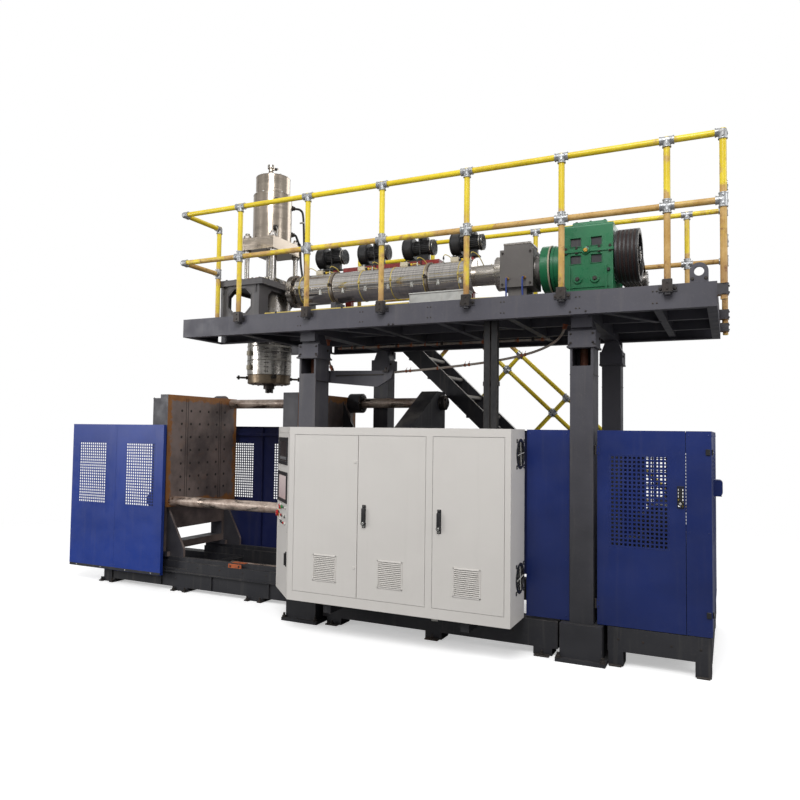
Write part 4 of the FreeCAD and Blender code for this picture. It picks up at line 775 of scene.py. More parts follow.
    def surround(self, u, v, width, y, edge):
        """Four bars in the xz plane, inside the rectangle u by v: top, bottom, left, right."""
        (u0, u1), (v0, v1) = u, v
        for across, up in ((u, (v1 - width, v1)), (u, (v0, v0 + width)), ((u0, u0 + width), v),
                           ((u1 - width, u1), v)):
            self.block(across, y, up, edge)

    def dome_screw(self, place, axis):
        """A low domed screw head."""
        return self.turned(place, axis, [(0, 6.5), (1.6, 6), (2.6, 3.4), (2.6, 0)], 14)

    def plug(self, place, axis):
        """A flat round plug with a chamfered rim."""
        return self.turned(place, axis, [(0, 9), (2, 9), (3, 6), (3, 0)], 14)

    def hoops(self, place, axis, radii, width, low, high, sides):
        """Flat rings of one width round an axis, as in a fan grille."""
        for radius in radii:
            self.turned(place, axis, [(low, radius - width), (high, radius - width), (high, radius),
                                      (low, radius)], sides, closed=False)

    def lifting_eye(self, centre, radius, thick):
        """An upright ring in the xz plane, open only inside the boss that it stands on."""
        x, y, z = centre
        turns = [math.radians(-80 + 340 * i / 14) for i in range(15)]
        self.wire([(x + radius * math.cos(t), y, z + radius * math.sin(t)) for t in turns], thick, 8)

    def wire(self, points, radius, sides=8):
        """A round wire through the points, bent smoothly."""
        path = smooth_path(points)
        rows, all_points = [], []
        u = None
        for i, place in enumerate(path):
            ahead = (path[min(i + 1, len(path) - 1)] - path[max(i - 1, 0)]).normalized()
            u = frame_along(ahead)[0] if u is None else (u - ahead * u.dot(ahead)).normalized()
            v = ahead.cross(u)
            row = []
            for k in range(sides):
                a = 2 * math.pi * k / sides
                row.append(len(all_points))
                all_points.append(place + (u * math.cos(a) + v * math.sin(a)) * radius)
            rows.append(row)
        faces = [rows[0][::-1], rows[-1]]
        for low, high in zip(rows, rows[1:]):
            faces += [[low[k], low[(k + 1) % sides], high[(k + 1) % sides], high[k]] for k in range(sides)]
        self.add(all_points, faces)
        return self

    def done(self, body, slot=None, replaces=()):
        """Turns the collected shapes into an object that rides on a body."""
        bm = self.bm
        for v in bm.verts:
            v.co *= MM
        bmesh.ops.recalc_face_normals(bm, faces=bm.faces)
        for face in bm.faces:
            face.smooth = True
        for edge in bm.edges:
            edge.smooth = len(edge.link_faces) == 2 and edge.calc_face_angle() < SMOOTH_ANGLE
        mesh = bpy.data.meshes.new(self.name)
        bm.to_mesh(mesh)
        bm.free()
        for material in self.materials:
            mesh.materials.append(material)
        piece = bpy.data.objects.new(self.name, mesh)
        bpy.context.scene.collection.objects.link(piece)
        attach(piece, body)
        if replaces:
            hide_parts(*replaces)
        return piece


def smooth_path(points, steps=6):
    """Points along a Catmull-Rom curve through the given points."""
    pts = [Vector(p) for p in points]
    ends = [pts[0] * 2 - pts[1]] + pts + [pts[-1] * 2 - pts[-2]]
    path = []
    for a, b, c, d in zip(ends, ends[1:], ends[2:], ends[3:]):
        for i in range(steps):
            t = i / steps
            square, cube = 2 * a - 5 * b + 4 * c - d, 3 * b - a - 3 * c + d
            path.append(0.5 * (2 * b + (c - a) * t + square * t * t + cube * t ** 3))
    return path + [pts[-1]]


# ---- levels and faces shared by several parts ------------------------------------------
DECK_Z = 2866                      # top of the deck
FOOT_PLATE_Z = 2878                # top of the foot plates that stand on it
GUARD_X, GUARD_Y = 3380, -930      # outer faces of the drive-end enclosure
SWITCH_RAIL_Y = -1022              # face of the mounting rails in the cabinet
PUMP_MOTOR_X, PUMP_MOTOR_Z = 2970, 1050
CABINET_END_X = 2000

# ---- handrail fittings ---------------------------------------------------------------
RAIL_R = 24
RAIL_TOP, RAIL_MID = 3920, 3430
RAIL_NEAR_Y, RAIL_FAR_Y = -1151, 766
RAIL_LEFT_X, RAIL_RIGHT_X = -1470, 3474
NEAR_POSTS = (-770, 0, 765, 1550, 2330, 3100)
FAR_POSTS = (450, 1640, 3140)
LEFT_END_Y = -618


def clamp_fitting(piece, centre, ways, reach=52):
    """A cast tube clamp: a ball with a beaded sleeve along each way and a set screw on each."""
    centre = Vector(centre)
    profile = [(-RAIL_R, 6), (-27, 16), (-18, 26), (0, 31), (18, 26), (27, 16), (RAIL_R + 5, 6)]
    piece.turned(centre, Z, profile, 24)
    for way in ways:
        way = Vector(way).normalized()
        piece.turned(centre, way, [(6, 29.5), (reach - 9, 29.5), (reach - 7, 32.5), (reach - 1, 32.5),
                                   (reach, 31), (reach, RAIL_R + 0.4)], 28, closed=False)
        side = way.cross(Z) if abs(way.z) < 0.9 else -Y
        if side.y > 0:
            side = -side
        seat = centre + way * (reach - 22)
        piece.turned(seat + side * 27, side, [(0, 9), (6, 8.5), (7, 6), (7, 3.5), (4, 3.5), (4, 0)], 12)


def rail_fittings():
    """Tube clamps and foot bolts of the deck's handrail."""
    piece = Piece("rail_clamps", "galvanised")
    left, right, up, down, near, far = LEFT, (1, 0, 0), (0, 0, 1), DOWN, FRONT, (0, 1, 0)
    for x in NEAR_POSTS:
        clamp_fitting(piece, (x, RAIL_NEAR_Y, RAIL_TOP), (left, right, down))
        clamp_fitting(piece, (x, RAIL_NEAR_Y, RAIL_MID), (left, right, down, up))
    for x in FAR_POSTS:
        ways = (right, down) if x == FAR_POSTS[0] else (left, right, down)
        clamp_fitting(piece, (x, RAIL_FAR_Y, RAIL_TOP), ways)
        clamp_fitting(piece, (x, RAIL_FAR_Y, RAIL_MID), ways + (up,))
    for z in (RAIL_TOP, RAIL_MID):
        post_ways = (down,) if z == RAIL_TOP else (down, up)
        clamp_fitting(piece, (RAIL_LEFT_X, RAIL_NEAR_Y, z), (right, far))
        clamp_fitting(piece, (RAIL_LEFT_X, LEFT_END_Y, z), (near,) + post_ways)
        clamp_fitting(piece, (RAIL_RIGHT_X, RAIL_NEAR_Y, z), (left, far) + post_ways)
        clamp_fitting(piece, (RAIL_RIGHT_X, RAIL_FAR_Y, z), (left, near) + post_ways)
        clamp_fitting(piece, (RAIL_RIGHT_X, 0, z), (near, far) + post_ways)
    piece.done("platform")

    feet = Piece("rail_feet_bolts", "dark_steel")
    for posts, y, side in ((NEAR_POSTS, -1133, -1), (FAR_POSTS, 748, 1)):
        for x in posts:
            for dx in (-50, 50):
                feet.bolt((x + dx, y, 2827), (0, side, 0), 12)
            front = y + side * 48
            feet.block((x - 36, x + 36), (front - side * 3, front + side * 3), (2796, 2886), 1.5)
            for z in (2818, 2864):
                feet.bolt((x, front + side * 3, z), (0, side, 0), 8)
    for y in (RAIL_NEAR_Y, 0, RAIL_FAR_Y):
        for z in (2768, 2814):
            feet.bolt((RAIL_RIGHT_X + 29, y + (8 if y < 0 else -8), z), X, 9)
        for z in (2752, 2826):
            feet.ring(33, RAIL_R + 0.4, (RAIL_RIGHT_X, y, z), (RAIL_RIGHT_X, y, z + 5))
    feet.turned((-1470, LEFT_END_Y, 2860), Z, [(0, 52), (7, 52), (8, 50), (8, 31), (46, 31), (48, 29)], 28)
    for dx, dy in ((38, 0), (-38, 0), (0, 38), (0, -38)):
        feet.bolt((-1470 + dx, LEFT_END_Y + dy, 2867), Z, 7, washer=False)
    feet.done("platform")


STAIR_TOP_X, STAIR_RAIL_Y = 150, 1372
STAIR_RISERS, STAIR_RUN = 13, 234
STAIR_RISE = DECK_Z / STAIR_RISERS
STAIR_SLOPE = math.atan2(STAIR_RISE, STAIR_RUN)
STAIR_POSTS = (240, 976, 1712, 2448, 3184, 3640)


def on_stair(along, height):
    """A point along the stair's upper edge, and square to it by height, in the rail's plane."""
    c, s = math.cos(STAIR_SLOPE), math.sin(STAIR_SLOPE)
    return Vector((STAIR_TOP_X + along * c + height * s, STAIR_RAIL_Y, 2860 - along * s + height * c))


def stair_fittings():
    """Tube clamps of the stair's handrail, tread nosings, raised tread marks, and bright strips along the
    stringers' top edges that are painted highlights.
    """
    piece = Piece("stair_clamps", "galvanised")
    down_slope = on_stair(1, 0) - on_stair(0, 0)
    square = on_stair(0, 1) - on_stair(0, 0)
    for along in STAIR_POSTS:
        for height in (660, 430):
            ways = [-down_slope, -square] + ([down_slope] if along < STAIR_POSTS[-1] else [])
            if height < 500:
                ways.append(square)
            clamp_fitting(piece, on_stair(along, height), ways, 44)
        foot = on_stair(along, -40)
        piece.block((foot.x - 40, foot.x + 40), (1346, 1352), (foot.z - 40, foot.z + 40), 2)
        for dx, dz in ((-26, -26), (26, 26)):
            piece.bolt((foot.x + dx, 1352, foot.z + dz), Y, 8, washer=False)
    for level, height in ((RAIL_TOP, 660), (RAIL_MID, 430)):
        bend = on_stair(100, height)
        corner = Vector((90, STAIR_RAIL_Y, level))
        clamp_fitting(piece, bend, [down_slope, corner - bend], 44)
        clamp_fitting(piece, corner, [LEFT, DOWN, bend - corner], 62)
        clamp_fitting(piece, (-496, STAIR_RAIL_Y, level), [(1, 0, 0), DOWN, FRONT])
        clamp_fitting(piece, (-496, 770, level), [DOWN, (0, 1, 0)])
    piece.done("platform")

    treads_and_highlights = Piece("stair_nosings_and_highlight_strips", "worn_edge_and_highlight")
    for i in range(1, STAIR_RISERS):
        z = DECK_Z - STAIR_RISE * i - 24
        x = STAIR_TOP_X + STAIR_RUN * (i - 1) + 20
        treads_and_highlights.block((x + 196, x + 217), (762, 1336), (z, z + 3), 0.8)
        treads_and_highlights.block((x + 214, x + 218), (762, 1336), (z - 24, z + 3), 0.8)
        treads_and_highlights.block((x - 2, x + 2), (762, 1336), (z - 30, z + 2), 0.8)
        for row in range(14):
            for col in range(3):
                y = 800 + row * 38 + (col % 2) * 19
                treads_and_highlights.block((x + 40 + col * 55, x + 66 + col * 55), (y, y + 8), (z, z + 2), 0.6)
    # Bright steel strips along the top edges of both stringers: painted highlights.
    for y in (756, 1342):
        a, b = Vector((160, y, 2852)), Vector((3055, y, 2852 - 2895 * STAIR_RISE / STAIR_RUN))
        length = (b - a).length
        turn = Matrix.Translation(a) @ Matrix.Rotation(STAIR_SLOPE, 4, "Y")
        treads_and_highlights.block((0, length), (-6, 6), (4, 7), 0.8, turn=turn)
    treads_and_highlights.done("platform")


# ---- columns -------------------------------------------------------------------------
COLUMN_XS = (-90, 2450)
COLUMN_ROWS = {"front": (-970, -730, -1), "rear": (566, 740, 1)}


def column_fittings():
    """Foot and cap bolts of the four columns, lift heads and the threads of their screws."""
    fixed = Piece("column_bolts", "dark_steel")
    moving = Piece("lift_head_bolts", "dark_steel")
    grease = Piece("screw_threads", "greased_screw")
    for row, (y0, y1, side) in COLUMN_ROWS.items():
        middle = (y0 + y1) / 2
        feet_y = (-1025, -675) if row == "front" else (590, 812)
        for x in COLUMN_XS:
            for dx in (-168, 168):
                for y in feet_y:
                    fixed.bolt((x + dx, y, 30), Z, 22, stub=26)
            for dx in (-98, 98):
                for y in (y0 - 4, y1 + 4):
                    fixed.bolt((x + dx, y, 2455), Z, 11, stub=8)
            for dx in (-92, 92):
                fixed.block((x + dx, x + dx + math.copysign(3, dx)), (y0 + 8, y1 - 8), (2225, 2232), 1)
            outer = middle + side * 115
            for dx, z in ((-86, 2551), (86, 2551), (86, 2480), (-86, 2480)):
                moving.bolt((x + dx, outer, z), (0, side, 0), 9, stub=3)
            moving.bolt((x + 107.5, middle - side * 60, 2527), X, 12)
            for turn in range(46):
                z = 2236 + turn * 4.4
                grease.turned((x, middle, z), Z, [(0, 30.2), (1.1, 33.4), (2.2, 33.4), (3.3, 30.2)], 24)
            fixed.turned((x, middle, 2230), Z, [(0, 62), (10, 62), (12, 60), (12, 33), (40, 33), (42, 31)],
                         28)
    fixed.done("base")
    moving.done("platform")
    grease.done("platform")


def side_arm_fittings():
    """Pivot cover, ribs and hose saddle on the arm welded to the front left column."""
    piece = Piece("side_arm_fittings", "dark_steel")
    piece.turned((-103, -640, 2298), Y, [(0, 66), (5, 66), (7, 62), (7, 40), (12, 38), (14, 30), (14, 0)], 36)
    for i in range(6):
        a = math.radians(60 * i + 20)
        piece.bolt((-103 + 52 * math.cos(a), -633, 2298 + 52 * math.sin(a)), Y, 7, washer=False)
    piece.block((40, 560), (-676, -668), (2290, 2302), 2)
    piece.block((560, 620), (-700, -640), (2318, 2334), 2)
    piece.turned((590, -684, 2334), Z, [(0, 11), (24, 11), (26, 8), (26, 0)], 14)
    piece.done("base")


# ---- platform ------------------------------------------------------------------------
def platform_fittings():
    """Bolts, welds, trunking and conduit on the platform's edge and deck."""
    piece = Piece("platform_bolts", "dark_steel")
    for x in (830, 872):
        piece.bolt((x, -1125, 2688), FRONT, 9)
    for x in (-90, 560, 1210, 1850, 2450, 3010):
        for z in (2726, 2814):
            for dx in (-14, 14):
                piece.turned((x + dx, -1125, z), FRONT, [(0, 7), (1.5, 6.5), (2.5, 4), (2.5, 0)], 12)
    for dx in (-45, 45):
        piece.bolt((3311 + dx, -1117, 2888), FRONT, 12)
    for x in (2390, 2510):
        piece.bolt((x, -1125, 2700), FRONT, 8)
    piece.done("platform")

    welds = Piece("platform_welds", "platform")
    for y in (-1055, -600):
        welds.wire([(-1470, y, 2862), (-1200, y, 2863), (-815, y, 2862)], 3.5, 6)
    welds.wire([(3250, -1094, 2862), (3311, -1093, 2863), (3372, -1094, 2862)], 4, 6)
    welds.wire([(3250, -1115, 2862), (3311, -1116, 2863), (3372, -1115, 2862)], 4, 6)
    welds.done("platform")

    kerb = Piece("deck_trunking", "galvanised_dull")
    kerb.block((971, 1500), (-1010, -862), (DECK_Z, 2960), 4)
    kerb.block((966, 1505), (-1016, -856), (2958, 2972), 3)
    for x in (990, 1230, 1480):
        kerb.turned((x, -1016, 2965), FRONT, [(0, 7), (2, 6.5), (3, 4), (3, 0)], 12)
    kerb.done("platform")

    conduit = Piece("deck_conduit", "cable_yellow")
    conduit.wire([(-560, -1010, 2884), (-300, -1008, 2882), (60, -1012, 2884), (420, -1008, 2882),
                  (760, -1012, 2884), (966, -1006, 2886)], 10, 10)
    conduit.wire([(1505, -960, 2890), (1700, -966, 2884), (1880, -940, 2882), (1990, -800, 2882),
                  (2030, -560, 2882), (2040, -360, 2882)], 10, 10)
    for x in (-430, -60, 300, 650):
        conduit.use("dark_steel")
        conduit.block((x - 9, x + 9), (-1026, -992), (DECK_Z, 2896), 2)
    conduit.done("platform")


HOSE_R = 11
HOSE_ROUTE = ((-180, -450, 2676), (-186, -450, 2560), (-168, -450, 2450),
              (-110, -450, 2345), (-20, -450, 2298), (115, -450, 2288),
              (300, -450, 2306), (560, -450, 2336), (860, -450, 2350),
              (1160, -450, 2372), (1450, -450, 2396), (1720, -450, 2431),
              (1950, -450, 2480), (2120, -450, 2552), (2200, -450, 2640),
              (2215, -450, 2710))


def clipped_hose_ties():
    """Tape and clips of the hose that runs along the beam under the deck."""
    piece = Piece("hose_ties", "tie_orange")
    random.seed(4)
    x = -330
    while x < 1950:
        wide = random.uniform(10, 26)
        piece.turned((x, 60, 2660), X, [(0, 13.2), (2, 16.5), (wide, 16.5), (wide + 2, 13.2)], 16)
        piece.wire([(x + wide / 2, 60, 2672), (x + wide / 2, 66, 2682), (x + wide / 2 + 4, 60, 2692)], 2, 6)
        x += random.uniform(120, 260)
    piece.use("dark_steel")
    for x in (-150, 350, 860, 1400, 1800):
        piece.block((x - 14, x + 14), (44, 76), (2676, 2684), 1.5)
        piece.block((x - 14, x + 14), (44, 49), (2648, 2680), 1.5)
        piece.block((x - 14, x + 14), (71, 76), (2648, 2680), 1.5)
    piece.done("platform")


def loose_hose_ends():
    """Taped couplings at the hose's left end, its ties, and the swivels that it hangs from."""
    piece = Piece("hose_end_fittings", "rust_orange")
    start, left = (Vector(HOSE_ROUTE[i]) for i in (0, 1))
    piece.turned(start + Vector((0, 0, 8)), left - start, [(0, 24), (14, 24), (16, 17), (60, 17), (62, 22),
                                                           (84, 22), (86, 14)], 20)
    for k, (here, there) in enumerate(zip(HOSE_ROUTE[1:5], HOSE_ROUTE[2:6])):
        here, there = Vector(here), Vector(there)
        run = (there - here).length
        ahead = (there - here).normalized()
        first, last = (0.30, 0.70) if k < 3 else (0.14, 0.30)
        piece.turned(here + ahead * run * first, ahead, [(0, HOSE_R + 0.4), (3, HOSE_R + 7),
                                                         (run * (last - first) * 0.45, HOSE_R + 9),
                                                         (run * (last - first) * 0.55, HOSE_R + 5),
                                                         (run * (last - first), HOSE_R + 8),
                                                         (run * (last - first) + 3, HOSE_R + 0.4)], 18)
    piece.use("tie_orange")
    for k in range(5, 12):
        here, there = Vector(HOSE_ROUTE[k]), Vector(HOSE_ROUTE[k + 1])
        ahead = (there - here).normalized()
        for share in ((0.42, 0.56) if k % 2 else (0.5,)):
            spot = here + (there - here) * share
            piece.turned(spot, ahead, [(0, HOSE_R + 0.4), (2, HOSE_R + 4), (16, HOSE_R + 4),
                                       (18, HOSE_R + 0.4)], 14)
            piece.wire([spot + ahead * 8 + Vector((0, 0, HOSE_R + 2)),
                        spot + ahead * 10 + Vector((0, 4, HOSE_R + 14)),
                        spot + ahead * 16 + Vector((0, 2, HOSE_R + 22))], 2, 6)
    piece.use("rust_orange")
    end, before = Vector(HOSE_ROUTE[-1]), Vector(HOSE_ROUTE[-2])
    piece.turned(end + Vector((0, 0, 2)), before - end, [(0, 24), (10, 24), (12, 18), (40, 18), (42, 14)], 20)
    piece.done("platform", slot="hose_rubber")


def cable_riser_fittings():
    """Brackets and lips of the cable trunks between cabinet and platform."""
    piece = Piece("riser_brackets", "dark_steel")
    for z in (1290, 1700, 2150, 2560):
        piece.block((1640, 1767), (-912, -906), (z, z + 36), 1.5)
        piece.block((1640, 1646), (-975, -906), (z, z + 36), 1.5)
        piece.block((1761, 1767), (-975, -906), (z, z + 36), 1.5)
    for x in (1647, 1697, 1710, 1760):
        piece.block((x - 1.5, x + 1.5), (-974, -971), (1200, 2670), 0.6)
    piece.done("platform")


# ---- accumulator head ----------------------------------------------------------------
DIE_X = -1225
SCREW_Z = 3310


def circle_of(count, radius, start=0):
    """Points evenly spaced round a circle, from an angle in degrees."""
    for i in range(count):
        a = math.radians(start + 360 * i / count)
        yield radius * math.cos(a), radius * math.sin(a)


def head_top():
    """Position sensor, glands, screws and pipes of the head's cylinder."""
    piece = Piece("head_top_fittings", "bright_steel")
    x, y = DIE_X - 20, -20
    piece.turned((x, y, 4799), Z, [(0, 30), (1, 30)], 24)
    piece.turned((x, y, 4760), Z, [(2, 38.4), (8, 39.5), (30, 39.5), (36, 38.4)], 30)
    piece.use("black")
    piece.turned((x, y, 4645), Z, [(0, 44), (6, 44), (8, 35), (58, 34.6), (60, 30)], 30)
    piece.turned((x, y, 4706), Z, [(2, 27), (6, 29), (14, 29), (17, 27)], 24)
    piece.hexagon((x + 60, y, 4745), X, 30, 14)
    piece.turned((x + 74, y, 4745), X, [(0, 12.5), (10, 12.5), (12, 11.4), (21, 11.4)], 18)
    piece.use("zinc")
    for dx, dy in circle_of(10, 172, 9):
        piece.socket_screw((DIE_X + dx, dy, 4645), Z, 14)
    for dx, dy in circle_of(12, 205, 4):
        piece.socket_screw((DIE_X + dx, dy, 4435), Z, 12)
    piece.use("head_steel")
    for z in (3902, 4427, 4438, 4637):
        radius = 219 if z < 4430 else 195
        piece.turned((DIE_X, 0, z), Z, [(0, radius - 1.9), (1.5, radius), (4.5, radius), (6, radius - 1.9)],
                     72)
    piece.use("dark_steel")
    for z in (4020, 4330):
        piece.turned((DIE_X + 150, -150, z), (1, -1, 0), [(0, 30), (22, 30), (24, 27), (24, 15)], 24)
        piece.hexagon((DIE_X + 166.5, -166.5, z), (1, -1, 0), 40, 22)
    piece.use("machined")
    for sx in (-1, 1):
        for sy in (-1, 1):
            piece.socket_screw((DIE_X + sx * 196, sy * 262, 3900), Z, 15)
            base = Vector((DIE_X + sx * 172, sy * 225, 3400))
            piece.hexagon(base, Z, 74, 26, 3)
            piece.hexagon(base + Vector((0, 0, 339)), Z, 74, 26, 3)
            piece.hexagon(base + Vector((0, 0, 500)), Z, 74, 40, 3)
            piece.turned(base + Vector((0, 0, 540)), Z, [(0, 26), (22, 26), (26, 22)], 24)
    piece.done("platform")

    lines = Piece("head_pipes", "cable_black")
    for z, gap, foot in ((4020, 214, 366), (4330, 248, 330)):
        lines.wire([(DIE_X + 176, 176, z), (DIE_X + gap - 20, gap - 20, z - 10),
                    (DIE_X + gap, gap + 10, z - 90), (DIE_X + gap, gap + 40, 3900),
                    (DIE_X + gap, gap + 62, 3700), (DIE_X + 240, gap + 76, 3500),
                    (DIE_X + 240, gap + 90, 3420), (DIE_X + 240, foot + 80, 3372)], 13, 12)
        lines.turned((DIE_X + 240, foot + 84, 3366), FRONT, [(0, 17), (12, 17), (14, 14), (26, 14)], 18)
    lines.use("zinc")
    lines.block((DIE_X + 206, DIE_X + 262), (246, 262), (4170, 4186), 2)
    lines.use("dark_steel")
    for z in (4020, 4330):
        lines.turned((DIE_X + 150, 150, z), (1, 1, 0), [(0, 30), (22, 30), (24, 27), (24, 15)], 24)
        lines.hexagon((DIE_X + 166.5, 166.5, z), (1, 1, 0), 40, 22)
    lines.use("cable_white")
    lines.wire([(DIE_X + 150, -150, 4020), (DIE_X + 196, -190, 4010), (DIE_X + 218, -206, 3960),
                (DIE_X + 222, -214, 3905), (DIE_X + 226, -226, 3902)], 4, 8)
    lines.done("platform")


def head_middle():
    """Bolts and ribs of the stool, the inlet flange, and the wiring below the head."""
    piece = Piece("head_stool_bolts", "dark_steel")
    for sy in (-1, 1):
        for x in (DIE_X - 262, DIE_X - 170, DIE_X + 170, DIE_X + 262):
            piece.bolt((x, sy * 570, 3360), Z, 13, stub=4)
    for dx, dy in circle_of(4, 252, 45):
        piece.bolt((DIE_X + dx, dy, 3360), Z, 16, stub=4)
    for sx in (-1, 1):
        for y in (-500, -200, 200, 500):
            if sx > 0 and abs(y) < 300:
                continue
            piece.bolt((DIE_X + sx * 277, y, 3330), (sx, 0, 0), 9, washer=False)
    piece.use("stool")
    for y in (-560, 560):
        side = math.copysign(1, y)
        piece.block((DIE_X - 268, DIE_X + 268), (y, y + side * 26), (DECK_Z, FOOT_PLATE_Z), 2)
        for dx in (-240, -80, 80, 240):
            piece.use("dark_steel").bolt((DIE_X + dx, y + side * 14, FOOT_PLATE_Z), Z, 11,
                                         stub=4).use("stool")
        piece.wire([(DIE_X - 250, y + side * 2, 2880), (DIE_X, y + side * 3, 2881),
                    (DIE_X + 250, y + side * 2, 2880)], 4, 6)
        for dx in (-210, 210):
            piece.plate([(DIE_X + dx - 6, 3298), (DIE_X + dx + 6, 3298), (DIE_X + dx + 6, 3220),
                         (DIE_X + dx - 6, 3220)], "xz", y, y + side * 12)
    outline = [(150, 3055), (150, 3211), (95, 3266), (-95, 3266), (-150, 3211), (-150, 3055), (-95, 3000),
               (95, 3000)]
    for a, b in zip(outline, outline[1:] + outline[:1]):
        for y in (-562, 562):
            piece.wire([(DIE_X + a[0] * 1.01, y, a[1]), (DIE_X + b[0] * 1.01, y, b[1])], 2.5, 6)
    piece.done("platform")

    flange = Piece("head_inlet_flange", "bright_steel")
    flange.turned((-911, 0, SCREW_Z), X, [(0, 176), (2, 178), (28, 178), (30, 176), (30, 100)], 64)
    flange.turned((-875, 0, SCREW_Z), X, [(0, 170), (0, 178), (2, 180), (26, 180), (28, 178), (28, 104)], 64)
    flange.use("dark_steel")
    for dy, dz in circle_of(8, 142, 22.5):
        flange.bolt((-846, dy, SCREW_Z + dz), X, 15, stub=10)
    flange.use("machined")
    for dy, dz in circle_of(6, 62, 30):
        flange.bolt((-905, dy * 1.35, SCREW_Z + dz * 1.35), LEFT, 9, washer=False)
    flange.done("platform")

    wires = Piece("head_wiring", "cable_red")
    random.seed(11)
    looks = ("cable_red", "cable_red", "cable_white", "cable_yellow", "cable_red", "cable_black")
    for i, look in enumerate(looks):
        wires.use(look)
        x = DIE_X - 150 + 62 * i
        y = -300 - 8 * (i % 3)
        wires.wire([(x, -250, 3404), (x + 6, y + 16, 3430 + 9 * (i % 2)), (x + 18, y - 30, 3424),
                    (x + 30, y - 90, 3382), (x + 36 + random.uniform(-9, 9), -400, 3366),
                    (x + 60, -520, 3367), (x + 120, -566, 3368)], 4.2, 7)
    wires.use("beige_plastic")
    for i in range(3):
        x = DIE_X - 120 + 120 * i
        wires.block((x - 24, x + 24), (-300, -252), (3402, 3436), 4)
        wires.use("zinc")
        for dx in (-14, 14):
            wires.socket_screw((x + dx, -276, 3436), Z, 4)
        wires.use("beige_plastic")
    wires.use("dark_steel")
    for x in (DIE_X - 90, DIE_X + 60, DIE_X + 190):
        wires.block((x - 16, x + 16), (-530, -518), (3360, GUARD_X), 1.5)
    wires.done("platform")


def head_bottom():
    """Heater band clamps, die bolts with their adjusting screws, and the pin's end."""
    bands = Piece("heater_band_clamps", "band_steel")
    for low in (2379, 2538, 2697):
        for z in (low + 0.5, low + 149.5):
            bands.turned((DIE_X, 0, z), Z, [(0, 245.2), (1, 248), (5, 248), (6, 245.2)], 72)
        for z in (low + 50, low + 104):
            bands.turned((DIE_X, 0, z), Z, [(0, 245.2), (0.6, 246.4), (3, 246.4), (3.6, 245.2)], 72)
        for turn in (-62, 118):
            a = math.radians(turn)
            out = Vector((math.cos(a), math.sin(a), 0))
            along = Vector((-math.sin(a), math.cos(a), 0))
            centre = Vector((DIE_X, 0, 0)) + out * 245
            for side in (-1, 1):
                base = centre + along * (side * 11)
                turn_matrix = Matrix.Translation(base) @ Matrix.Rotation(a, 4, "Z")
                bands.use("band_steel").block((0, 26), (-2, 2), (low + 8, low + 148), 0.8, turn=turn_matrix)
            bands.use("dark_steel")
            for z in (low + 30, low + 78, low + 126):
                spot = centre + out * 15
                start = spot - along * 24
                bands.turned((start.x, start.y, z), along, [(0, 4), (48, 4)], 10)
                for side in (-1, 1):
                    seat = spot + along * (side * 13)
                    bands.hexagon((seat.x, seat.y, z), along * side, 13, 7)
        a = math.radians(-112)
        out = Vector((math.cos(a), math.sin(a), 0))
        seat = Vector((DIE_X, 0, low + 76)) + out * 246
        box_turn = Matrix.Translation(seat) @ Matrix.Rotation(a, 4, "Z")
        bands.use("beige_plastic").block((0, 34), (-30, 30), (-26, 26), 5, turn=box_turn)
        bands.use("zinc").socket_screw(seat + out * 34 + Vector((0, 0, 14)), out, 4)
        bands.use("zinc").socket_screw(seat + out * 34 + Vector((0, 0, -14)), out, 4)
        bands.use("cable_white")
        low_end = seat + Vector((0, 0, 26))
        bands.wire([low_end, low_end + Vector((-4, -4, 40)) + out * 6, low_end + Vector((0, 0, 90)) + out * 3,
                    low_end + Vector((0, 0, 124))], 5, 8)
    bands.done("platform")

    die = Piece("die_bolts", "dark_steel")
    for dx, dy in circle_of(12, 190, 15):
        die.socket_screw((DIE_X + dx, dy, 2285), DOWN, 15)
    for dx, dy in circle_of(12, 112, 0):
        die.socket_screw((DIE_X + dx, dy, 2285), DOWN, 10)
    for dx, dy in circle_of(4, 1, 45):
        axis = Vector((dx, dy, 0))
        tip = Vector((DIE_X, 0, 2345)) + axis * 345
        die.hexagon(tip - axis * 14, axis, 46, 18, 2)
        die.turned(tip + axis * 2, axis, [(0, 10), (14, 10), (15, 8)], 16)
        lock = Vector((DIE_X, 0, 2345)) + axis * 242
        die.hexagon(lock, axis, 38, 16, 2)
        for i in range(9):
            die.turned(lock + axis * (22 + 6 * i), axis, [(0, 11.1), (1.5, 12.4), (3, 11.1)], 16)
    die.use("die_steel")
    die.turned((DIE_X, 0, 2285), Z, [(0, 230), (-7, 226), (-9, 200), (-9, 92), (-2, 84), (0, 82)], 64,
               closed=False)
    for z in (2290, 2366):
        die.turned((DIE_X, 0, z), Z, [(0, 238.2), (1.5, 240), (5, 240), (6.5, 238.2)], 72)
    die.done("platform")

    tip = Piece("die_pin_details", "dark_steel")
    for dx, dy in circle_of(6, 40, 10):
        tip.socket_screw((DIE_X + dx, dy, 2225), DOWN, 8)
    tip.turned((DIE_X, 0, 2181), Z, [(2, 0), (2, 16), (14, 18), (44, 18)], 24)
    tip.done("pin")


# ---- extruder ------------------------------------------------------------------------
JACKETS = ((-800, -358), (-322, 742), (778, 1240))
BLOWER_Y, BLOWER_Z = 400, 3765
BLOWER_X = (-823, -271, 281, 835)


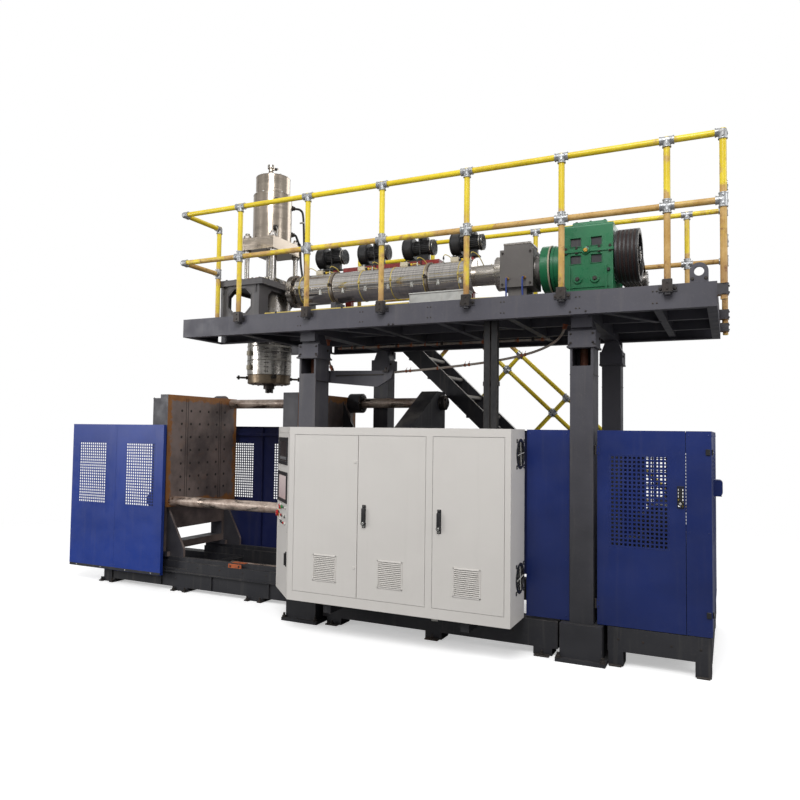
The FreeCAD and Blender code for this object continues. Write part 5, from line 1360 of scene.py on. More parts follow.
def extruder_trim():
    """Hoops, catches, terminals and leads of the barrel covers, and bolts of the stands."""
    piece = Piece("barrel_cover_trim", "cover_steel")
    for x0, x1 in JACKETS:
        for x in (x0 + 1, x1 - 13):
            piece.turned((x, 0, SCREW_Z), X, [(0, 165.2), (1.5, 168), (10.5, 168), (12, 165.2)], 72)
        for side in (-1, 1):
            z = SCREW_Z - 60
            y = side * math.sqrt(165.5 ** 2 - 60 ** 2)
            piece.block((x0 + 12, x1 - 12), (y - side * 3, y + side * 5), (z - 12, z - 8), 1)
            piece.block((x0 + 12, x1 - 12), (y - side * 3, y + side * 5), (z + 4, z + 8), 1)
            count = max(2, round((x1 - x0) / 260))
            for i in range(count):
                x = x0 + (x1 - x0) * (i + 0.5) / count
                piece.use("zinc")
                piece.block((x - 16, x + 16), (y + side * 2, y + side * 9), (z - 30, z + 2), 2)
                piece.block((x - 9, x + 9), (y + side * 6, y + side * 14), (z - 24, z + 22), 2)
                piece.bar(3.2, (x - 15, y + side * 11, z + 20), (x + 15, y + side * 11, z + 20), 10)
                piece.use("cover_steel")
    piece.done("platform")

    boxes = Piece("barrel_terminals", "beige_plastic")
    for x in (-560, -40, 460, 1020):
        boxes.use("beige_plastic").block((x - 42, x + 42), (-44, 30), (SCREW_Z + 160, SCREW_Z + 206), 6)
        boxes.use("zinc")
        for dx in (-32, 32):
            for dy in (-36, 20):
                boxes.socket_screw((x + dx, dy, SCREW_Z + 206), Z, 5)
        boxes.use("black").turned((x + 42, -8, SCREW_Z + 182), X,
                                  [(0, 14), (6, 14), (8, 12), (22, 12), (25, 9)], 18)
        boxes.use("yellow_plastic").turned((x + 67, -8, SCREW_Z + 182), X, [(0, 11), (12, 11), (15, 8)], 18)
        boxes.use("cable_yellow").wire([(x + 80, -8, SCREW_Z + 182), (x + 118, 10, SCREW_Z + 190),
                                        (x + 150, 60, SCREW_Z + 178), (x + 168, 130, SCREW_Z + 140),
                                        (x + 172, 182, SCREW_Z + 104), (x + 174, 250, SCREW_Z + 100),
                                        (x + 176, 334, SCREW_Z + 120), (x + 178, 342, SCREW_Z + 190)], 7, 9)
    for x in (-700, -430, 90, 610, 900, 1190):
        boxes.use("zinc").hexagon((x, -30, SCREW_Z + 161), Z, 18, 10)
        boxes.turned((x, -30, SCREW_Z + 171), Z, [(0, 5), (24, 5), (25, 4)], 12)
        boxes.use("black").turned((x, -30, SCREW_Z + 195), Z, [(0, 9), (20, 9), (22, 6), (34, 5)], 14)
        boxes.use("cable_yellow").wire([(x, -30, SCREW_Z + 228), (x + 14, -12, SCREW_Z + 246),
                                        (x + 50, 30, SCREW_Z + 226), (x + 72, 84, SCREW_Z + 176),
                                        (x + 82, 140, SCREW_Z + 132), (x + 84, 176, SCREW_Z + 106),
                                        (x + 88, 260, SCREW_Z + 104), (x + 92, 336, SCREW_Z + 130),
                                        (x + 96, 342, SCREW_Z + 196)], 4.5, 8)
    boxes.use("cable_yellow")
    for i in range(6):
        x = -740 + 368 * i
        boxes.turned((x, 0, SCREW_Z), X, [(0, 165.5), (2, 169.5), (8, 169.5), (10, 165.5)], 64)
        boxes.block((x - 4, x + 18), (-178, -166), (SCREW_Z - 6, SCREW_Z + 16), 2)
    boxes.done("platform")

    stands = Piece("barrel_stand_bolts", "dark_steel")
    for x in (-340, 760):
        for dx in (-60, 60):
            for y in (-130, 130):
                stands.bolt((x + dx, y, FOOT_PLATE_Z), Z, 12, stub=5)
        for side in (-1, 1):
            for z in (-1, 1):
                stands.block((x - 14, x + 14), (side * 174, side * 206), (SCREW_Z + z * 2, SCREW_Z + z * 16),
                             1.5)
            stands.bolt((x, side * 192, SCREW_Z + 16), Z, 9, washer=False)
            stands.use("dark_frame")
            stands.plate([(side * 30 + x, FOOT_PLATE_Z), (x + side * 74, FOOT_PLATE_Z),
                          (x + side * 30, 3010)], "xz", -5, 5)
            stands.use("dark_steel")
    for x in (-420, 640, BLOWER_X[0] + 215, BLOWER_X[3] + 215):
        stands.use("maroon").block((x - 55, x + 55), (BLOWER_Y - 55, BLOWER_Y + 55), (DECK_Z, 2876), 2)
        stands.use("dark_steel")
        for dx, dy in ((-44, -44), (44, -44), (-44, 44), (44, 44)):
            stands.bolt((x + dx, BLOWER_Y + dy, 2876), Z, 8, washer=False)
    stands.use("maroon")
    for x in (-470, 110, 695):
        stands.block((x - 5, x + 5), (BLOWER_Y - 64, BLOWER_Y - 60), (3492, 3614), 1)
    stands.done("platform")


def blower_trim():
    """Scroll beads, grilles, motor fins and duct screws of the four cooling blowers."""
    piece = Piece("blower_details", "black")
    for x in BLOWER_X:
        spiral = []
        for i in range(49):
            a = math.radians(7.5 * i)
            spiral.append((BLOWER_Y + (113 + 9 * i / 48) * math.cos(a),
                           BLOWER_Z + (113 + 9 * i / 48) * math.sin(a)))
        for side in (x + 10, x + 98):
            piece.use("black")
            piece.wire([(side, y, z) for y, z in spiral[::3]], 3.5, 6)
        piece.turned((x, BLOWER_Y, BLOWER_Z), LEFT, [(0, 108), (3, 106), (5, 92), (5, 62), (1, 58)], 48,
                     closed=False)
        for dy, dz in circle_of(8, 99, 12):
            piece.use("zinc").socket_screw((x - 3, BLOWER_Y + dy, BLOWER_Z + dz), LEFT, 5)
        piece.use("dark_steel")
        for radius in (20, 34, 48, 60):
            piece.turned((x - 6, BLOWER_Y, BLOWER_Z), LEFT, [(0, radius - 2), (0, radius), (3, radius),
                                                             (3, radius - 2), (0, radius - 2)], 32,
                         closed=False)
        for i in range(4):
            turn = placed((x, BLOWER_Y, BLOWER_Z), "X", 45 * i + 10)
            piece.block((-9, -5), (-61, 61), (-2, 2), 0.6, turn=turn)
        piece.use("black")
        for i in range(28):
            angle = 360 * i / 28
            if not (60 < angle < 120 or 225 < angle < 315):
                turn = placed((x, BLOWER_Y, BLOWER_Z), "X", angle)
                piece.block((128, 300), (77, 88), (-1.6, 1.6), 0.8, turn=turn)
        piece.use("band_steel")
        piece.turned((x + 310, BLOWER_Y, BLOWER_Z), X, [(0, 84.3), (1, 87), (9, 87), (10, 84.3)], 48)
        piece.turned((x + 344, BLOWER_Y, BLOWER_Z), X, [(0, 80), (-1.5, 85.4), (-4, 85.8), (-5, 84.2)], 48,
                     closed=False)
        piece.use("black")
        piece.hoops((x + 344, BLOWER_Y, BLOWER_Z), X, (22, 38, 54, 70), 3, -1, 2.4, 36)
        for i in range(4):
            turn = placed((x + 344, BLOWER_Y, BLOWER_Z), "X", 45 * i)
            piece.block((-1, 2.8), (-72, 72), (-2.5, 2.5), 0.6, turn=turn)
        piece.block((x + 165, x + 265), (BLOWER_Y - 44, BLOWER_Y + 44), (BLOWER_Z + 70, BLOWER_Z + 120), 8)
        piece.use("zinc")
        for dx in (178, 252):
            for dy in (-34, 34):
                piece.socket_screw((x + dx, BLOWER_Y + dy, BLOWER_Z + 120), Z, 5)
        piece.use("black").turned((x + 200, BLOWER_Y - 44, BLOWER_Z + 94), FRONT,
                                  [(0, 14), (8, 14), (10, 10), (24, 10)], 16)
        piece.use("cable_black").wire([(x + 200, BLOWER_Y - 66, BLOWER_Z + 94),
                                       (x + 200, BLOWER_Y - 96, BLOWER_Z + 80),
                                       (x + 204, BLOWER_Y - 100, BLOWER_Z + 20),
                                       (x + 208, BLOWER_Y - 74, BLOWER_Z - 120),
                                       (x + 210, BLOWER_Y - 67, BLOWER_Z - 150),
                                       (x + 212, BLOWER_Y - 66, BLOWER_Z - 200)], 6, 9)
        piece.use("dark_steel")
        for dx in (30, 120, 275):
            for dy in (-36, 36):
                piece.bolt((x + dx, BLOWER_Y + dy, 3630), Z, 8, washer=False)
        piece.use("zinc")
        for z in (3330, 3450, 3570, 3690):
            for dx in (22, 88):
                piece.socket_screw((x + dx, BLOWER_Y + 112, z), Y, 4)
        piece.use("black")
        for dz in (3284, 3371):
            piece.block((x + 4, x + 106), (186, 194), (dz, dz + 6), 1)
        for dx in (5, 98):
            piece.block((x + dx, x + dx + 7), (186, 194), (3284, 3377), 1)
    piece.done("platform")


# ---- feed and drive ------------------------------------------------------------------
GEAR_PULLEY = (-100, 3350, 235)
MOTOR_PULLEY = (505, 3240, 95)
PULLEY_X = (2610, 2800)


def feed_trim():
    """Screws, water pipes and coupling flanges of the feed housing."""
    piece = Piece("feed_fittings", "dark_steel")
    for sx in (-1, 1):
        for sy in (-1, 1):
            piece.use("zinc").turned((1690 + sx * 100, sy * 100, 3540), Z,
                                     [(0, 6.4), (16, 6.4), (17, 3), (12, 3), (12, 0)], 16)
    piece.use("machined").block((1556, 1824), (-134, 134), (3550, 3569.6), 3)
    piece.use("dark_steel")
    for side in (-1, 1):
        for x in (1556, 1824):
            for z in (3170, 3470):
                piece.socket_screw((x, side * 160, z), (0, side, 0), 13)
        piece.use("brass")
        for x in (1610, 1770):
            piece.hexagon((x, side * 160, 3220), (0, side, 0), 26, 14)
            piece.turned((x, side * 174, 3220), (0, side, 0), [(0, 9), (20, 9), (22, 11), (30, 11), (32, 8)],
                         18)
        piece.use("dark_steel")
    piece.use("cable_blue").wire([(1610, -204, 3220), (1612, -228, 3200), (1612, -226, 3080),
                                  (1606, -210, 2940), (1600, -204, 2880)], 8, 10)
    piece.wire([(1770, -204, 3220), (1768, -228, 3200), (1768, -226, 3080), (1776, -210, 2940),
                (1780, -204, 2880)], 8, 10)
    piece.use("machined")
    piece.turned((1850, 0, SCREW_Z), X, [(0, 131), (2, 134), (12, 134), (14, 131)], 48)
    piece.use("dark_steel")
    for dy, dz in circle_of(12, 195, 15):
        piece.bolt((1925, dy, SCREW_Z + dz), LEFT, 13, washer=False)
    piece.use("green")
    piece.turned((2018, 0, SCREW_Z), X, [(0, 212), (2, 216), (30, 216), (32, 211)], 60)
    piece.use("beige")
    piece.turned((2012, 0, SCREW_Z), X, [(-16, 220.4), (-14, 223), (-2, 223), (0, 220.4)], 60)
    piece.use("dark_steel")
    for dy, dz in circle_of(12, 188, 0):
        piece.bolt((2130, dy, SCREW_Z + dz), X, 12, washer=False)
    piece.use("bright_steel")
    piece.turned((1472, 0, SCREW_Z), X, [(-2, 163), (0, 167), (14, 167), (16, 164)], 60)
    for dy, dz in circle_of(10, 140, 18):
        piece.socket_screw((1470, dy, SCREW_Z + dz), LEFT, 14)
    piece.done("platform")


def gearbox_trim():
    """Windows, ribs, bolts, breather and lifting eyes of the gearbox."""
    piece = Piece("gearbox_details", "green")
    x0, x1 = 2160, 2595
    for side in (-1, 1):
        y = side * 300
        for col in (2272, 2452):
            for low, high in ((3270, 3345), (3425, 3500)):
                for lo, hi in (((col - 52, low - 6), (col + 52, low)),
                               ((col - 52, high), (col + 52, high + 6)), ((col - 52, low), (col - 46, high)),
                               ((col + 46, low), (col + 52, high))):
                    piece.block((lo[0], hi[0]), (y - side * 1, y + side * 5), (lo[1], hi[1]), 1.5)
        piece.use("dark_frame")
        for col in (2272, 2452):
            for row in ((3270, 3345), (3425, 3500)):
                piece.block((col - 44, col + 44), (side * 285, side * 288), (row[0] + 2, row[1] - 2), 1)
        for x in (x0 + 26, x0 + 120, x0 + 218, x0 + 316, x1 - 26):
            piece.use("dark_steel")
            piece.hexagon((x, side * 306, 3400), Z, 24, 14)
            piece.turned((x, side * 306, 3414), Z, [(0, 7.5), (8, 7.5), (9, 6)], 14)
            piece.hexagon((x, side * 306, 3372), DOWN, 24, 12)
        for x in (2290, 2440):
            piece.use("green").turned((x, y, 3130), (0, side, 0), [(0, 40), (12, 40), (15, 36), (15, 0)], 32)
            piece.use("dark_steel").bolt((x, y + side * 15, 3130), (0, side, 0), 19)
        piece.use("green").turned((2362, y, 3384), (0, side, 0), [(0, 34), (16, 34), (18, 30), (18, 0)], 32)
        piece.use("brass").hexagon((2362, y + side * 18, 3384), (0, side, 0), 34, 14)
        piece.use("black").turned((2556, y, 3200), (0, side, 0),
                                  [(0, 16), (8, 16), (10, 12), (18, 11), (18, 0)], 20)
        piece.use("green")
        for z in (2990, 3050):
            piece.block((x0 + 30, x1 - 30), (y, y + side * 9), (z, z + 12), 3)
        for x in (x0 + 60, x1 - 60):
            piece.plate([(x - 8, 2952), (x + 8, 2952), (x + 8, 3240), (x - 8, 3240)], "xz", y, y + side * 14)
        for x in (x0, x0 + 150, x1 - 150, x1):
            piece.use("dark_steel").bolt((x + (8 if x == x0 else -8 if x == x1 else 0), side * 312, 2952), Z,
                                         12, washer=False)
        piece.use("green")
    for dx, dy in ((100, -190), (100, 190), (348, -190), (348, 190), (224, -190), (224, 190)):
        piece.use("dark_steel").bolt((x0 + dx, dy, 3668), Z, 13)
    piece.use("green")
    for dx in (130, 320):
        piece.turned((x0 + dx, 0, 3668), Z, [(0, 26), (4, 26), (8, 16), (12, 15)], 24)
        piece.lifting_eye((x0 + dx, 0, 3698), 22, 6)
    piece.use("zinc").turned((x0 + 225, 120, 3668), Z, [(0, 14), (10, 14), (12, 20), (30, 20), (34, 12)], 20)
    piece.use("dark_steel")
    piece.wire([(2142, -240, 2952), (2141, -242, 3200), (2141, -242, 3500), (2150, -238, 3560),
                (2170, -230, 3600)], 7, 10)
    for z in (3060, 3300, 3480):
        piece.block((2134, 2160), (-254, -230), (z, z + 12), 2)
    y, z, _ = GEAR_PULLEY
    piece.use("green").turned((2595, y, z), X, [(0, 92), (3, 92), (6, 88), (6, 50)], 48)
    piece.use("dark_steel")
    for dy, dz in circle_of(8, 76, 22):
        piece.bolt((2601, y + dy, z + dz), X, 6, washer=False)
    piece.done("platform")


def pulley_trim():
    """Hub, spoke pads and rim of the two pulleys."""
    y, z, radius = GEAR_PULLEY
    piece = Piece("gearbox_pulley_details", "machined")
    piece.turned((PULLEY_X[1] - 1, y, z), X, [(0, 42), (4, 42), (5, 40), (5, 20), (2, 16), (2, 0)], 40)
    for dy, dz in circle_of(3, 60, 30):
        piece.use("dark_steel").socket_screw((PULLEY_X[1], y + dy, z + dz), X, 9)
    piece.use("black")
    for i in range(5):
        turn = placed((0, y, z), "X", 72 * i + 18)
        piece.block((PULLEY_X[1] - 58, PULLEY_X[1] - 16), (76, radius - 46), (-14, 14), 3, turn=turn)
    piece.use("dark_steel")
    piece.turned((PULLEY_X[1], y, z), X, [(-1, radius - 44), (0.8, radius - 42), (0.8, radius - 3),
                                          (-1, radius - 1)], 72, closed=False)
    piece.block((PULLEY_X[1] + 2, PULLEY_X[1] + 4.5), (y - 7, y + 7), (z + 18, z + 40), 0.5)
    piece.done("drive_pulley")

    my, mz, small = MOTOR_PULLEY
    piece = Piece("motor_pulley_details", "machined")
    piece.turned((PULLEY_X[1] - 1, my, mz), X, [(0, 52), (3, 52), (4, 50), (4, 30), (2, 28), (2, 0)], 40)
    for dy, dz in circle_of(3, 66, 0):
        piece.use("dark_steel").socket_screw((PULLEY_X[1], my + dy, mz + dz), X, 8)
    piece.use("black")
    piece.turned((PULLEY_X[1], my, mz), X, [(-1, small - 12), (0.8, small - 10), (0.8, small - 3),
                                            (-1, small - 1)], 60, closed=False)
    piece.done("small_pulley")


def motor_trim():
    """Cooling ribs, fan cowl, terminal box and lifting eye of the main motor."""
    y, z, _ = MOTOR_PULLEY
    piece = Piece("motor_details", "frame")
    for i in range(40):
        angle = 9 * i
        if not (70 < angle < 110 or 240 < angle < 300):
            piece.block((2000, 2480), (183, 204), (-2.2, 2.2), 0.8, turn=placed((0, y, z), "X", angle))
    piece.use("dark_frame")
    piece.turned((1850, y, z), LEFT, [(-70, 181), (-68, 190), (-4, 190), (0, 182), (2, 170)], 60,
                 closed=False)
    piece.hoops((1850, y, z), LEFT, (40, 66, 92, 118, 144), 5, -1, 3, 44)
    for i in range(4):
        turn = placed((1850, y, z), "X", 45 * i)
        piece.block((-4, 1), (-165, 165), (-4, 4), 1, turn=turn)
    piece.use("dark_steel")
    for dy, dz in circle_of(8, 168, 22):
        piece.bolt((2530, y + dy, z + dz), X, 11, washer=False)
    for x in (2040, 2510):
        for side in (-1, 1):
            piece.bolt((x, y + side * 156, 2920), Z, 15, stub=4)
    for x in (1945, 2140):
        for side in (-1, 1):
            piece.socket_screw((x, y + side * 88, 3590), Z, 8)
    piece.use("frame").block((1924, 2161), (y - 106, y + 106), (3560, 3566), 1.5)
    for side in (-1, 1):
        piece.use("black").turned((1975 + 60 * side, y - 100, 3470), FRONT,
                                  [(0, 24), (10, 24), (12, 19), (32, 19)], 20)
    piece.use("cable_black").wire([(2035, y - 130, 3470), (2035, y - 190, 3450), (2020, y - 206, 3360),
                                   (1980, y - 206, 3200), (1940, y - 200, 3000), (1930, y - 196, 2884)], 15,
                                  12)
    piece.use("dark_steel")
    piece.lifting_eye((2270, y, z + 224), 30, 8)
    piece.turned((2270, y, z + 180), Z, [(0, 26), (10, 26), (14, 14)], 20)
    piece.use("frame")
    for x in (2010, 2260, 2520):
        for side in (-1, 1):
            piece.plate([(x - 6, 2872), (x + 6, 2872), (x + 6, 2918), (x - 6, 2918)], "xz", y + side * 172,
                        y + side * 200)
    piece.done("platform")


# ---- control cabinet -----------------------------------------------------------------
FRONT_Y = -1370
DOORS = {"left": ((55, 682), 373), "middle": ((688, 1298), 990), "right": ((1362, 1950), 1652)}
FAN_Y, FAN_ZS = -1103, (1595, 622)


def console_turn(s, z, out=0):
    """Matrix of a plane on the angled console: X along it from its front corner, Y inwards."""
    return placed((0, FRONT_Y, 0), "Z", -45) @ Matrix.Translation(Vector((-s, -out, z)))


def console_point(s, z, out=0):
    """A point on the angled console."""
    return console_turn(s, z, out) @ Vector((0, 0, 0))


STOP_AT = (490, 985)               # the emergency stop, along and up the console
CONSOLE_OUT = Vector((-math.sin(math.radians(45)), -math.cos(math.radians(45)), 0))


def cabinet_doors():
    """Vent louvres, seals, locks and swing levers of the three doors."""
    for name, ((x0, x1), vent) in DOORS.items():
        piece = Piece("door_details_" + name, "cabinet")
        y = FRONT_Y
        low, high = 480, 706
        piece.surround((vent - 114, vent + 114), (low, high), 10, (y - 5, y + 0.5), 1.5)
        for i in range(14):
            z = 492 + 15.5 * i
            slat = placed((vent, y - 2, z + 6.5), "X", 32)
            piece.block((-104, 104), (-6.5, 6.5), (-1.1, 1.1), 0.4, turn=slat)
        piece.use("grey_plastic").block((vent - 102, vent + 102), (y + 3, y + 9), (low + 8, high - 8), 1)
        piece.use("cabinet")
        for z in (700, 1040, 1400):
            piece.block((x0 + 40, x1 - 40), (y + 4, y + 16), (z + 50, z + 74), 2)
        piece.use("rubber")
        for a, b in (((x0 + 4, x1 - 4), (378, 386)), ((x0 + 4, x1 - 4), (1711, 1719)),
                     ((x0 + 4, x0 + 12), (386, 1711)), ((x1 - 12, x1 - 4), (386, 1711))):
            piece.block(a, (y + 13, y + 19.5), b, 2)
        if name != "left":
            lever_x = {"middle": 748, "right": 1420}[name]
            piece.use("black").block((lever_x - 17, lever_x + 17), (y - 6, y), (958, 1148), 4)
            piece.use("zinc").turned((lever_x, y - 6, 973), FRONT, [(0, 11), (3, 10), (3, 5), (1, 4), (1, 0)],
                                     24)
            piece.socket_screw((lever_x, y - 5.5, 1139), FRONT, 4)
            piece.use("dark_steel").block((lever_x - 5, lever_x + 5), (y + 16, y + 22), (520, 1600), 1)
        else:
            for z in (620, 1500):
                piece.use("cabinet").turned((x1 - 26, y, z), FRONT,
                                            [(0, 13), (2, 13), (4, 11), (4, 5), (2, 4), (2, 0)], 24)
        piece.done("door_" + name)
    for body, x in (("lever_middle", 748), ("lever_right", 1420)):
        piece = Piece("swing_lever_" + body, "black")
        piece.hull([Vector((x + dx, FRONT_Y - out, z)) for dx, out,
                    z in ((-13.5, 12, 1000), (13.5, 12, 1000), (-13.5, 26.5, 1008), (13.5, 26.5, 1008),
                          (-11, 29, 1020), (11, 29, 1020), (-11, 29, 1104), (11, 29, 1104),
                          (-13.5, 26.5, 1116), (13.5, 26.5, 1116), (-9, 12, 1121.5), (9, 12, 1121.5),
                          (-9, 24, 1121.5), (9, 24, 1121.5))])
        piece.turned((x, FRONT_Y - 26, 997), FRONT, [(-18, 18.3), (0, 18.3), (2, 16), (2, 0)], 28)
        piece.use("zinc").turned((x, FRONT_Y - 28, 997), FRONT,
                                 [(0, 11), (1.5, 11), (2.5, 9.5), (2.5, 4), (0.5, 3.5), (0.5, 0)], 28)
        piece.use("dark_steel").block((x - 1.5, x + 1.5), (FRONT_Y - 31, FRONT_Y - 30), (991, 1003), 0.3)
        piece.done(body)


def cabinet_body():
    """Edges, lifting feet and fan grilles of the cabinet, and the switchgear inside."""
    piece = Piece("cabinet_trim", "cabinet")
    for x0, x1 in ((52, 1301), (1359, 1953)):
        piece.block((x0 - 2, x1 + 2), (FRONT_Y + 1, FRONT_Y + 12), (1725, 1734), 1)
        piece.block((x0 - 2, x1 + 2), (FRONT_Y + 1, FRONT_Y + 12), (363, 372), 1)
    piece.block((-386, 2002), (-984, -978), (1780, 1792), 1.5)
    piece.use("beige")
    for x in (365, 1615):
        piece.block((x - 60, x + 60), (-1290, -1190), (270, 288), 3)
        for dx in (-44, 44):
            piece.use("dark_steel").bolt((x + dx, -1240, 270), DOWN, 12).use("beige")
    piece.use("black")
    for z in FAN_ZS:
        piece.turned((CABINET_END_X, FAN_Y, z), X, [(-3, 96), (0, 96), (4, 99), (6, 112), (4, 120), (0, 121)],
                     56, closed=False)
        piece.hoops((CABINET_END_X, FAN_Y, z), X, (26, 50, 74), 2, 1, 4.6, 44)
        for i in range(2):
            turn = placed((CABINET_END_X, FAN_Y, z), "X", 45 + 90 * i)
            piece.block((-1, 4.2), (-100, 100), (-2, 2), 0.6, turn=turn)
        for dy in (-102, 102):
            for dz in (-102, 102):
                piece.block((CABINET_END_X, CABINET_END_X + 4), (FAN_Y + dy - 16, FAN_Y + dy + 16),
                            (z + dz - 16, z + dz + 16), 3)
                piece.use("zinc").socket_screw((CABINET_END_X + 4, FAN_Y + dy, z + dz), X, 4).use("black")
    piece.use("white_plastic")
    for z in FAN_ZS:
        for i in range(2):
            turn = placed((CABINET_END_X, FAN_Y, z), "X", 90 * i + 6)
            piece.block((0.5, 5.4), (-94, 94), (-3.2, 3.2), 0.8, turn=turn)
    piece.done("base")

    gear = Piece("cabinet_switchgear", "zinc")
    random.seed(23)
    for x0, x1 in ((60, 640), (700, 1280), (1370, 1880)):
        gear.use("galvanised_dull").block((x0, x1), (-1012, -1008), (420, 1680), 1)
        rows = (470, 690, 930, 1150, 1380, 1580)
        for i, z in enumerate(rows):
            gear.use("grey_plastic").block((x0 + 6, x1 - 6), (-1058, -1012), (z + 96, z + 136), 2)
            gear.use("zinc").block((x0 + 30, x1 - 30), (SWITCH_RAIL_Y, -1012), (z + 22, z + 40), 1)
            x = x0 + 40
            while x < x1 - 90:
                wide = random.choice((18, 24, 45, 45, 72))
                deep = {18: 62, 24: 50, 45: 84, 72: 108}[wide]
                look = {18: "white_plastic", 24: "grey_plastic", 45: "black", 72: "beige_plastic"}[wide]
                tall = {18: 40, 24: 34, 45: 42, 72: 44}[wide]
                gear.use(look).block((x, x + wide - 1), (SWITCH_RAIL_Y - deep, SWITCH_RAIL_Y),
                                     (z + 31 - tall, z + 31 + tall), 2)
                gear.use("zinc")
                for k in range(max(1, wide // 18)):
                    gear.socket_screw((x + 9 + 16 * k, SWITCH_RAIL_Y - deep + 1, z + 31 + tall - 8), FRONT, 4)
                gear.use(random.choice(("cable_black", "cable_red", "cable_blue", "cable_white")))
                gear.wire([(x + wide / 2, SWITCH_RAIL_Y - deep + 8, z + 30 + tall),
                           (x + wide / 2, SWITCH_RAIL_Y - deep + 4, z + 44 + tall),
                           (x + wide / 2, -1046, z + 92), (x + wide / 2, -1040, z + 98)], 2.6, 6)
                x += wide
    gear.done("base")


def console():
    """Screens, buttons, seams and key caps of the angled console."""
    piece = Piece("console_trim", "black")
    for width, (low, high), look in ((390, (1460, 1684), "screen_dark"), (400, (1118, 1371), "screen_touch")):
        piece.use("black")
        half = width / 2
        for (u0, u1), (v0, v1) in (((-half - 12, half + 12), (high - 22, high + 12)),
                                   ((-half - 12, half + 12), (low - 12, low + 22)),
                                   ((-half - 12, -half + 26), (low + 22, high - 22)),
                                   ((half - 26, half + 12), (low + 22, high - 22))):
            piece.block((u0, u1), (-9, 0), (v0, v1), 2.5, turn=console_turn(290, 0))
        piece.use(look).block((-half + 24, half - 24), (-5, -2.2), (low + 20, high - 20), 0.5,
                              turn=console_turn(290, 0))
        if look == "screen_dark":
            piece.use("grey_plastic")
            for i in range(5):
                piece.block((-half + 44 + 62 * i, -half + 92 + 62 * i), (-7.5, -5), (low + 34, low + 60), 1.5,
                            turn=console_turn(290, 0))
    buttons = ((420, 1065, "red_plastic", 11), (340, 1082, "white_plastic", 9), (200, 1065, "black", 11),
               (150, 1065, "white_plastic", 11), (430, 1005, "black", 11), (400, 940, "white_plastic", 11),
               (330, 985, "red_plastic", 11), (270, 985, "black", 11), (210, 985, "white_plastic", 11),
               (150, 985, "black", 11), (330, 925, "black", 11), (270, 925, "black", 11),
               (210, 925, "red_plastic", 11), (150, 925, "white_plastic", 11))
    for s, z, look, r in buttons:
        start = console_point(s, z)
        piece.use("zinc").turned(start, CONSOLE_OUT, [(0, r + 5), (3, r + 5), (5, r + 2)], 22)
        piece.use(look).turned(start + CONSOLE_OUT * 4, CONSOLE_OUT,
                               [(0, r + 1), (7, r + 1), (9, r - 1), (9, 0)], 22)
    piece.use("yellow_plastic").turned(console_point(*STOP_AT), CONSOLE_OUT,
                                       [(0, 34), (1.5, 34), (2.5, 32), (2.5, 19)], 36)
    for s, z, r in ((260, 1065, 11), (350, 1050, 11)):
        piece.use("zinc").turned(console_point(s, z), CONSOLE_OUT, [(0, r + 6), (3, r + 6), (5, r + 3.4)], 24,
                                 closed=False)
    piece.use("zinc")
    for s, z in ((64, 1760), (480, 1760), (64, 860), (480, 860), (64, 330), (480, 330)):
        piece.socket_screw(console_point(s, z), CONSOLE_OUT, 5)
    piece.use("cabinet")
    for v in ((1740, 1744), (890, 894), (318, 322)):
        piece.block((-250, 250), (-2.5, 0), v, 0.8, turn=console_turn(272, 0))
    for u in ((-250, -246), (246, 250)):
        piece.block(u, (-2.5, 0), (318, 894), 0.8, turn=console_turn(272, 0))
    piece.use("black").block((-14, 14), (-8, 0), (560, 690), 3, turn=console_turn(66, 0))
    piece.block((-9, 9), (-22, -8), (572, 680), 4, turn=console_turn(66, 0))
    piece.use("zinc").turned(console_point(66, 582, 22), CONSOLE_OUT, [(0, 7), (2, 7), (3, 5), (3, 0)], 18)
    piece.done("base")

    stop = Piece("stop_mushroom_cap", "red_plastic")
    start = console_point(*STOP_AT, 7)
    stop.turned(start, CONSOLE_OUT, [(0, 22), (3, 27), (9, 28.5), (14, 27), (18, 21), (19.5, 10), (19.5, 0)],
                36)
    stop.use("white_plastic")
    for i in range(3):
        turn = console_turn(*STOP_AT, 26.6) @ Matrix.Rotation(math.radians(120 * i + 30), 4, "Y")
        stop.block((9, 18), (-0.5, 0.6), (-1.6, 1.6), 0.3, turn=turn)
    stop.done("stop_mushroom")
    for body, s, z, look in (("start_key", 260, 1065, "green_plastic"),
                             ("stop_key", 350, 1050, "red_plastic")):
        cap = Piece("cap_" + body, look)
        cap.turned(console_point(s, z, 20), CONSOLE_OUT, [(0, 14.4), (2.4, 14.4), (3.6, 13), (3, 10), (3, 0)],
                   28)
        cap.done(body)


def fan_rotors():
    """Hub and blade rings of the cabinet's two fans."""
    for body, z in zip(("fan_upper", "fan_lower"), FAN_ZS):
        piece = Piece("rotor_details_" + body, "black")
        piece.turned((1964, FAN_Y, z), X, [(-1, 33), (3, 32), (6, 28), (7, 12), (7, 0)], 36)
        piece.use("grey_plastic").turned((1971, FAN_Y, z), X, [(0, 22), (0.8, 22), (0.8, 0)], 28)
        piece.use("black")
        for i in range(5):
            turn = placed((1949, FAN_Y, z), "X", 72 * i) @ Matrix.Rotation(math.radians(35), 4, "Y")
            piece.block((-3.4, 3.4), (86, 91.5), (-25, 25), 1.2, turn=turn)
            piece.block((-3.4, 3.4), (31, 40), (-24, 24), 1.2, turn=turn)
        piece.done(body)


# ---- guards and gates ----------------------------------------------------------------
def window_frame(piece, x_mid, y, side, low=905, high=1597, half=209.5):
    """A shallow pressed border round a punched window."""
    for u, v in (((x_mid - half - 9, x_mid + half + 9), (high + 3, high + 7)),
                 ((x_mid - half - 9, x_mid + half + 9), (low - 7, low - 3)),
                 ((x_mid - half - 9, x_mid - half - 5), (low - 3, high + 3)),
                 ((x_mid + half + 5, x_mid + half + 9), (low - 3, high + 3))):
        piece.block(u, (y, y + side * 1.2), v, 0.5)


